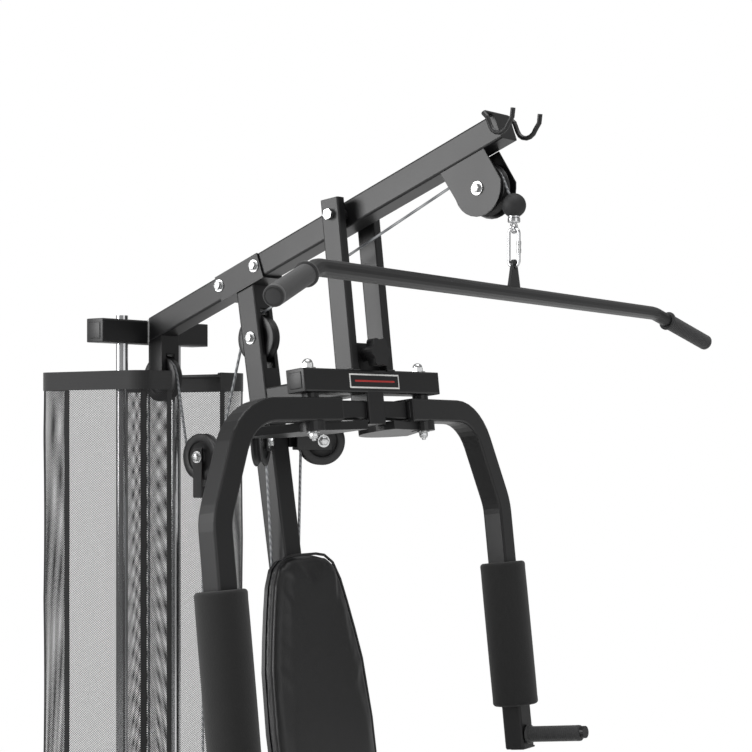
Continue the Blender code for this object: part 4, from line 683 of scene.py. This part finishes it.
low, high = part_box("cable_bar_end")
drop = between((0, high.y - CABLE_R * 0.86, high.z), (0, low.y + CABLE_R * 0.86, low.z), 12)
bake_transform(cable_piece("lat_cable_drop", drop, "cable_bar_end", None))
low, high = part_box("cable_stack_end")
drop = between((0, 0.3764, high.z), (0, 0.3764, low.z), 24)
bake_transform(cable_piece("stack_cable_drop", drop, "cable_stack_end", None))

CAM_CABLE_R, CAM_CABLE_DOWN, GROOVE_R = 0.1343, 0.4109, 0.043
for side, word in SIDES.items():
    centre = middle("pulley_swivel_" + word)
    outward, forward = swing_axes(side)
    cam = arm_point(side * 0.167, CAM_CABLE_DOWN)
    gap = Vector((cam.x - centre.x, cam.y - centre.y, 0))
    run = Matrix.Rotation(side * math.asin(CAM_CABLE_R / gap.length), 3, "Z") @ gap.normalized()
    away = centre + run * math.sqrt(gap.length ** 2 - CAM_CABLE_R ** 2) - cam
    leave = math.atan2(-away.dot(forward), away.dot(outward))
    rim = [cam + outward * CAM_CABLE_R * math.cos(a) - forward * CAM_CABLE_R * math.sin(a)
           for a in np.linspace(math.radians(60), leave, 18)]
    cable_piece("cam_cable_" + word, rim, "cable_press", "arm_" + word)
    reach = rim[-1] - centre
    rise = math.atan2(reach.z, reach.xy.length) + math.acos(GROOVE_R / math.hypot(reach.xy.length, reach.z))
    over = [centre + run * GROOVE_R * math.cos(a) + Z_AXIS * GROOVE_R * math.sin(a)
            for a in np.linspace(rise, math.pi, 10)]
    free = between(rim[-1], over[0], 16)
    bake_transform(cable_piece("press_cable_" + word, free, "cable_press", None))
    bottom = Vector((side * 0.010, -0.030, 0.620 + 0.075 + 0.016))
    cable_piece("press_drop_" + word, over + between(over[-1], bottom, 12)[1:]
                + [Vector((side * 0.007, -0.030, 0.701)), Vector((0, -0.030, 0.6985))],
                "cable_press", "frame")

# ---------------------------------------------------------------- foam rollers and grips
for name, body, axis, radius, length in (
        ("arm_foam_left", "arm_left", ARM_DOWN, 0.0475, 0.300),
        ("arm_foam_right", "arm_right", ARM_DOWN, 0.0475, 0.300),
        ("leg_foam_left", "lever", -X_AXIS, 0.045, 0.160), ("leg_foam_right", "lever", X_AXIS, 0.045, 0.160)):
    half = length / 2
    round_by = 0.007
    cap = [(radius - round_by + round_by * c, half - round_by + round_by * s) for c, s in arc(1, 0, 90, 6)]
    side_wall = [(radius * (1 - 0.012 * (z / half) ** 4), z)
                 for z in np.linspace(-half + round_by, half - round_by, 26)]
    profile = [(0.026, -half + 0.004), (0.030, -half)] + [(r, -z) for r, z in reversed(cap)] \
        + side_wall[1:-1] + cap + [(0.030, half), (0.026, half - 0.004), (0.0245, half - 0.012)]
    obj = lathe([(0.0245, -half + 0.012)] + profile, 56)
    roller = finish_piece(stand(obj, middle(name), axis), name + "_roller", FOAM, body, 50)
    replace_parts(roller, name)

BAR_ALONG = Vector((math.cos(math.radians(7.7)), math.sin(math.radians(7.7)), 0))
BAR_ASIDE = Vector((BAR_ALONG.y, -BAR_ALONG.x, 0))
BAR_DIP = BAR_ASIDE * math.sin(math.radians(39)) - Z_AXIS * math.cos(math.radians(39))


def grip(name, axis, body, length):
    """Moulded sleeve: rolled collar, fine ribs and a domed end."""
    half = length / 2
    profile = [(0.0146, -half), (0.0190, -half), (0.0200, -half + 0.0012), (0.0200, -half + 0.0040),
               (0.0190, -half + 0.0052), (0.0163, -half + 0.0060)]
    z = -half + 0.008
    while z < half - 0.012:
        profile += [(0.0164, z), (0.0158, z + 0.0012), (0.0158, z + 0.0022), (0.0164, z + 0.0034)]
        z += 0.0046
    profile += [(0.0165, half - 0.007), (0.0160, half - 0.003), (0.0140, half - 0.0008), (0.0105, half)]
    obj = finish_piece(stand(lathe(profile, 48), middle(name), axis), name + "_sleeve", GRIP, body)
    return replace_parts(obj, name)


for side, word in SIDES.items():
    grip("handle_grip_" + word, swing_axes(side)[1], "arm_" + word, 0.125)
    end = BAR_ALONG * side * math.cos(math.radians(22)) + BAR_DIP * math.sin(math.radians(22))
    grip("lat_grip_" + word, end, "bar", 0.150)

# ---------------------------------------------------------------- stop ball, swaged cup, eye and spring hook
LINE = Vector((0, -0.577, 1.931))
BALL_R = 0.0222
ball = lathe([(0.0034, -BALL_R)] + [(BALL_R * c, BALL_R * s) for c, s in arc(1, -80, 80, 26)]
             + [(0.0034, BALL_R)], 48)
ball = finish_piece(stand(ball, LINE, Z_AXIS), "stop_ball", RUBBER, "bar_stop")
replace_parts(ball, "ball_stop")
cup = lathe([(0.0080, 0.0), (0.0108, 0.0004), (0.0115, 0.0020), (0.0115, 0.0075), (0.0104, 0.0090),
             (0.0104, 0.0100),
             (0.0113, 0.0110), (0.0113, 0.0120), (0.0100, 0.0125)], 40)
finish_piece(stand(cup, LINE - Z_AXIS * (BALL_R - 0.003 + 0.0122), Z_AXIS), "swaged_cup", CHROME, "bar_stop")
EYE = LINE - Z_AXIS * (BALL_R - 0.003 + 0.012 + 0.009)
ring = [EYE + (X_AXIS * a + Z_AXIS * b) for a, b in arc(0.009, 0, 352.5, 48)]
finish_piece(sweep(ring, 0.0025, closed=True), "cable_eye", CHROME, "bar_stop")
low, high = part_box("carabiner")
wire, reach = 0.003, 0.011
top, bottom = high.z - wire, low.z + wire
loop = [Vector((0, LINE.y + a, top - reach + b)) for a, b in arc(reach, 0, 180, 16)]
loop += [Vector((0, LINE.y + a, bottom + reach + b)) for a, b in arc(reach, 180, 360, 16)]
hook = finish_piece(sweep(loop, wire, closed=True), "spring_hook", CHROME, "hook")
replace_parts(hook, "carabiner")
sleeve = lathe([(0.0031, -0.011), (0.0041, -0.0105), (0.0041, -0.004), (0.0037, -0.0035), (0.0037, 0.0035),
                (0.0041, 0.004), (0.0041, 0.0105), (0.0031, 0.011)], 32, ring=True)
gate = Vector((0, LINE.y - reach, (top + bottom) / 2))
finish_piece(stand(sleeve, gate, Z_AXIS), "spring_hook_gate", ZINC, "hook")

# ---------------------------------------------------------------- shroud sheets
SHROUD = dict(half=0.1588, front=0.2342, rear=0.5508, top=1.645, low=0.120, slot=0.072, corner=0.029)


def shroud_line(side, offset=0.0):
    """Places along one cover from its front slot to its back slot, with the distance walked."""
    h, r = SHROUD["half"] + offset, SHROUD["corner"] + offset
    y0, y1 = SHROUD["front"] - offset, SHROUD["rear"] + offset
    points = [(x, y0) for x in np.linspace(SHROUD["slot"], h - r, 8)]
    points += [(h - r + a, y0 + r + b) for a, b in arc(r, -90, 0, 9)[1:]]
    points += [(h, y) for y in np.linspace(y0 + r, y1 - r, 26)[1:]]
    points += [(h - r + a, y1 - r + b) for a, b in arc(r, 0, 90, 9)[1:]]
    points += [(x, y1) for x in np.linspace(h - r, SHROUD["slot"], 8)[1:]]
    walked = [0.0]
    for a, b in zip(points, points[1:]):
        walked.append(walked[-1] + math.dist(a, b))
    return [(side * x, y) for x, y in points], walked


def ribbon(side, start, end, low, high, offset, rows, thick=0.0):
    """Strip of a cover between two walked distances and two heights; its UV map is in metres."""
    line, walked = shroud_line(side, offset)
    start, end = start * walked[-1], end * walked[-1]
    columns = max(2, int((end - start) / 0.006))
    bpy.ops.object.select_all(action="DESELECT")
    bpy.ops.mesh.primitive_grid_add(x_subdivisions=columns, y_subdivisions=rows, size=2, location=(0, 0, 0))
    obj = bpy.context.object
    mesh = obj.data
    flat = np.array([v.co for v in mesh.vertices])
    run = start + (flat[:, 0] + 1) / 2 * (end - start)
    tall = low + (flat[:, 1] + 1) / 2 * (high - low)
    xs = np.interp(run, walked, [p[0] for p in line])
    ys = np.interp(run, walked, [p[1] for p in line])
    slack = 0.0018 * np.sin(tall * 9.0 + side) * np.sin(run * 21.0) * (1 if rows > 8 else 0)
    middle_y = (SHROUD["front"] + SHROUD["rear"]) / 2
    xs = xs - np.sign(xs) * np.abs(slack) * 0.8
    ys = ys - np.sign(ys - middle_y) * np.abs(slack) * 0.5
    mesh.vertices.foreach_set("co", np.stack([xs, ys, tall], 1).ravel())
    mesh.update()
    layer = mesh.uv_layers.active or mesh.uv_layers.new(name="cut")
    for loop in mesh.loops:
        layer.data[loop.index].uv = (run[loop.vertex_index], tall[loop.vertex_index])
    if thick:
        apply_modifier(obj, "SOLIDIFY", thickness=thick, offset=0.0)
    return obj


for side, word in SIDES.items():
    length = shroud_line(side)[1][-1]
    cover = ribbon(side, 0.0, 1.0, SHROUD["low"], SHROUD["top"], 0.0, 120)
    finish_piece(cover, "shroud_net_" + word, NET, "frame", 60)
    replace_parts(cover, "shroud_" + word)
    edge = 0.013 / length
    for n, (start, end) in enumerate(((0.0, edge), (1 - edge, 1.0), (0.150, 0.150 + edge * 0.9),
                                      (0.850 - edge * 0.9, 0.850))):
        strip = ribbon(side, start, end, SHROUD["low"], SHROUD["top"], 0.0006, 60, 0.0016)
        finish_piece(strip,
                                  f"shroud_binding_{word}_{n}", TAPE, "frame", 60)
    for n, (low, high) in enumerate(((1.606, 1.645), (0.120, 0.150))):
        finish_piece(ribbon(side, 0.0, 1.0, low, high, 0.0008, 6, 0.0022),
                                  f"shroud_hem_{word}_{n}", TAPE, "frame", 60)
    line, _ = shroud_line(side, -0.004)
    for n, z in enumerate((1.641, 0.124)):
        finish_piece(sweep([Vector((x, y, z)) for x, y in line], 0.0035),
                     f"shroud_rim_{word}_{n}", COAT, "frame")


# ---------------------------------------------------------------- upholstery
def upholster(name, outline, thick, place, body, node, push):
    """Stuffed pad on a board: an outline filled, remeshed and blown up as cloth with its back held."""
    bpy.ops.object.select_all(action="DESELECT")
    bpy.ops.mesh.primitive_circle_add(vertices=len(outline), radius=1, fill_type="NGON", location=(0, 0, 0))
    obj = bpy.context.object
    for vertex, (u, v) in zip(obj.data.vertices, outline):
        vertex.co = (u * 0.985, v * 0.993, 0.006)
    bpy.ops.object.mode_set(mode="EDIT")
    bpy.ops.mesh.select_all(action="SELECT")
    bpy.ops.mesh.extrude_region_move(TRANSFORM_OT_translate={"value": (0, 0, thick - 0.010)})
    bpy.ops.mesh.select_all(action="SELECT")
    bpy.ops.mesh.normals_make_consistent(inside=False)
    bpy.ops.object.mode_set(mode="OBJECT")
    apply_modifier(obj, "BEVEL", width=0.010, segments=3, limit_method="ANGLE", angle_limit=math.radians(50))
    apply_modifier(obj, "REMESH", mode="VOXEL", voxel_size=0.006)
    apply_modifier(obj, "SMOOTH", iterations=4)
    before = np.array([v.co for v in obj.data.vertices])
    held = obj.vertex_groups.new(name="board")
    held.add([v.index for v in obj.data.vertices if v.co.z < 0.012], 1.0, "REPLACE")
    cloth = obj.modifiers.new("stuffing", "CLOTH")
    cloth.settings.quality = 5
    cloth.settings.use_pressure = True
    cloth.settings.uniform_pressure_force = push
    cloth.settings.vertex_group_mass = "board"
    cloth.settings.effector_weights.gravity = 0.0
    cloth.point_cache.frame_start, cloth.point_cache.frame_end = 1, 20
    for frame_number in range(1, 21):
        bpy.context.scene.frame_set(frame_number)
    take(obj)
    bpy.ops.object.modifier_apply(modifier="stuffing")
    bpy.context.scene.frame_set(1)
    after = np.array([v.co for v in obj.data.vertices])
    step = after - before
    size = np.linalg.norm(step, axis=1, keepdims=True)
    after = before + step * np.minimum(1.0, 0.006 / np.maximum(size, 1e-9))
    obj.data.vertices.foreach_set("co", after.ravel())
    obj.data.update()
    apply_modifier(obj, "SMOOTH", iterations=2)
    apply_modifier(obj, "SUBSURF", levels=1, render_levels=1)
    obj.matrix_world = place
    bpy.context.view_layer.update()
    cover = finish_piece(obj, name, VINYL, body, 180)
    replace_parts(cover, node)

    bpy.ops.mesh.primitive_circle_add(vertices=len(outline), radius=1, fill_type="NGON", location=(0, 0, 0))
    board = bpy.context.object
    for vertex, (u, v) in zip(board.data.vertices, outline):
        vertex.co = (u * 0.965, v * 0.985, 0.0)
    bpy.ops.object.mode_set(mode="EDIT")
    bpy.ops.mesh.select_all(action="SELECT")
    bpy.ops.mesh.extrude_region_move(TRANSFORM_OT_translate={"value": (0, 0, 0.009)})
    bpy.ops.mesh.select_all(action="SELECT")
    bpy.ops.mesh.normals_make_consistent(inside=False)
    bpy.ops.object.mode_set(mode="OBJECT")
    board.matrix_world = place
    bpy.context.view_layer.update()
    finish_piece(board, name + "_board", NYLON, body)
    piping = sweep([place @ Vector((u * 0.992, v * 0.996, thick * 0.62)) for u, v in outline],
                   0.0028, closed=True)
    finish_piece(piping, name + "_piping", VINYL, body, 60)


pad_side = [(0.0, 0.125), (0.10, 0.140), (0.20, 0.1445), (0.30, 0.146), (0.42, 0.138), (0.48, 0.126),
            (0.54, 0.112),
            (0.585, 0.100), (0.620, 0.083), (0.636, 0.060), (0.640, 0.035)]
heights = [0.0] + [h for h, _ in pad_side[1:]]
fine = np.concatenate([np.linspace(a, b, 5)[:-1] for a, b in zip(heights, heights[1:])] + [[0.640]])
widths = np.interp(fine, heights, [w for _, w in pad_side])
pad_outline = [(w, h - 0.32) for h, w in zip(fine, widths)]
pad_outline += [(-w, h - 0.32) for h, w in zip(fine[::-1], widths[::-1])]
low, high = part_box("back_pad")
pad_mid = (low + high) / 2
pad_place = Matrix((X_AXIS, MAST_UP, MAST_FRONT)).transposed()
pad_place = Matrix.Translation(Vector((0, pad_mid.y, pad_mid.z)) - MAST_FRONT * 0.023) @ pad_place.to_4x4()
upholster("back_cushion", pad_outline, 0.046, pad_place, "frame", "back_pad", 4.0)

seat_corner = 0.045
seat_u, seat_v = 0.165, 0.195
seat_outline = []
for sx, sy, start in ((1, 1, 0), (-1, 1, 90), (-1, -1, 180), (1, -1, 270)):
    seat_outline += [(sx * (seat_u - seat_corner) + a, sy * (seat_v - seat_corner) + b)
                     for a, b in arc(seat_corner, start, start + 90, 8)]
seat_place = Matrix.Translation(Vector((0, -0.419, 0.440)))
upholster("seat_cushion", seat_outline, 0.060, seat_place, "frame", "seat_pad", 4.0)

# ---------------------------------------------------------------- plain sticker on the arm crossbar
for name, wide, tall, lift, look in (("sticker_ground", 0.150, 0.028, 0.0002, LABEL_WHITE),
                                     ("sticker_field", 0.144, 0.022, 0.0006, COAT),
                                     ("sticker_line", 0.120, 0.0035, 0.0010, LABEL_RED)):
    obj = slab(wide, 0.0008, tall, 0.0003, 1)
    set_square(obj, arm_point(-0.001, 0.3259, 0.0225 + lift), X_AXIS, -ARM_DOWN)
    finish_piece(obj, name, look, "press_arm")

for master in (BOLT, WASHER, DOME, NUT, PULLEY, INNER, PLUG, PLUG_ARM):
    bpy.data.objects.remove(master, do_unlink=True)

low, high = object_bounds()

# ---------------------------------------------------------------- studio
scene = bpy.context.scene
scene.view_settings.view_transform = "Standard"
bpy.ops.object.select_all(action="DESELECT")
bpy.ops.mesh.primitive_circle_add(vertices=128, radius=7.0, fill_type="NGON", location=(0, 0, -0.001))
floor = bpy.context.object
floor.name = "floor"
floor.data.materials.append(pale_floor())

world = bpy.data.worlds.new("studio")
scene.world = world
world.use_nodes = True
backdrop = world.node_tree
seen = add(backdrop, "ShaderNodeLightPath")
fill = backdrop.nodes["Background"]
fill.inputs["Color"].default_value = (0.9, 0.9, 0.9, 1)
fill.inputs["Strength"].default_value = 0.42
white = add(backdrop, "ShaderNodeBackground", {"Color": (1, 1, 1, 1), "Strength": 1.0})
mixed = add(backdrop, "ShaderNodeMixShader", {0: seen.outputs["Is Camera Ray"], 1: fill.outputs[0],
                                              2: white.outputs[0]})
backdrop.links.new(mixed.outputs[0], backdrop.nodes["World Output"].inputs["Surface"])


def soft_box(name, place, aim, size, power):
    """Large area light pointed at a place."""
    bpy.ops.object.select_all(action="DESELECT")
    bpy.ops.object.light_add(type="AREA", location=place)
    lamp = bpy.context.object
    lamp.name = name
    lamp.rotation_euler = (Vector(aim) - Vector(place)).to_track_quat("-Z", "Y").to_euler()
    lamp.data.shape = "RECTANGLE"
    lamp.data.size, lamp.data.size_y = size
    lamp.data.energy = power
    return lamp


soft_box("left_window", (-4.5, 2.6, 2.6), (0, 0, 1.3), (3.0, 3.0), 190)
soft_box("overhead", (-0.5, -0.6, 5.0), (0, 0, 1.0), (3.5, 3.5), 110)
soft_box("front_glow", (-1.0, -5.0, 2.0), (0, 0, 1.2), (3.0, 3.0), 30)

bpy.ops.object.camera_add(location=(-2.690, -2.450, 1.53),
                          rotation=(math.radians(90), 0, math.radians(-50.77)))
camera = bpy.context.object
camera.data.lens = 86.2
camera.data.sensor_width = 36.0
camera.data.shift_y = 0.067
scene.camera = camera
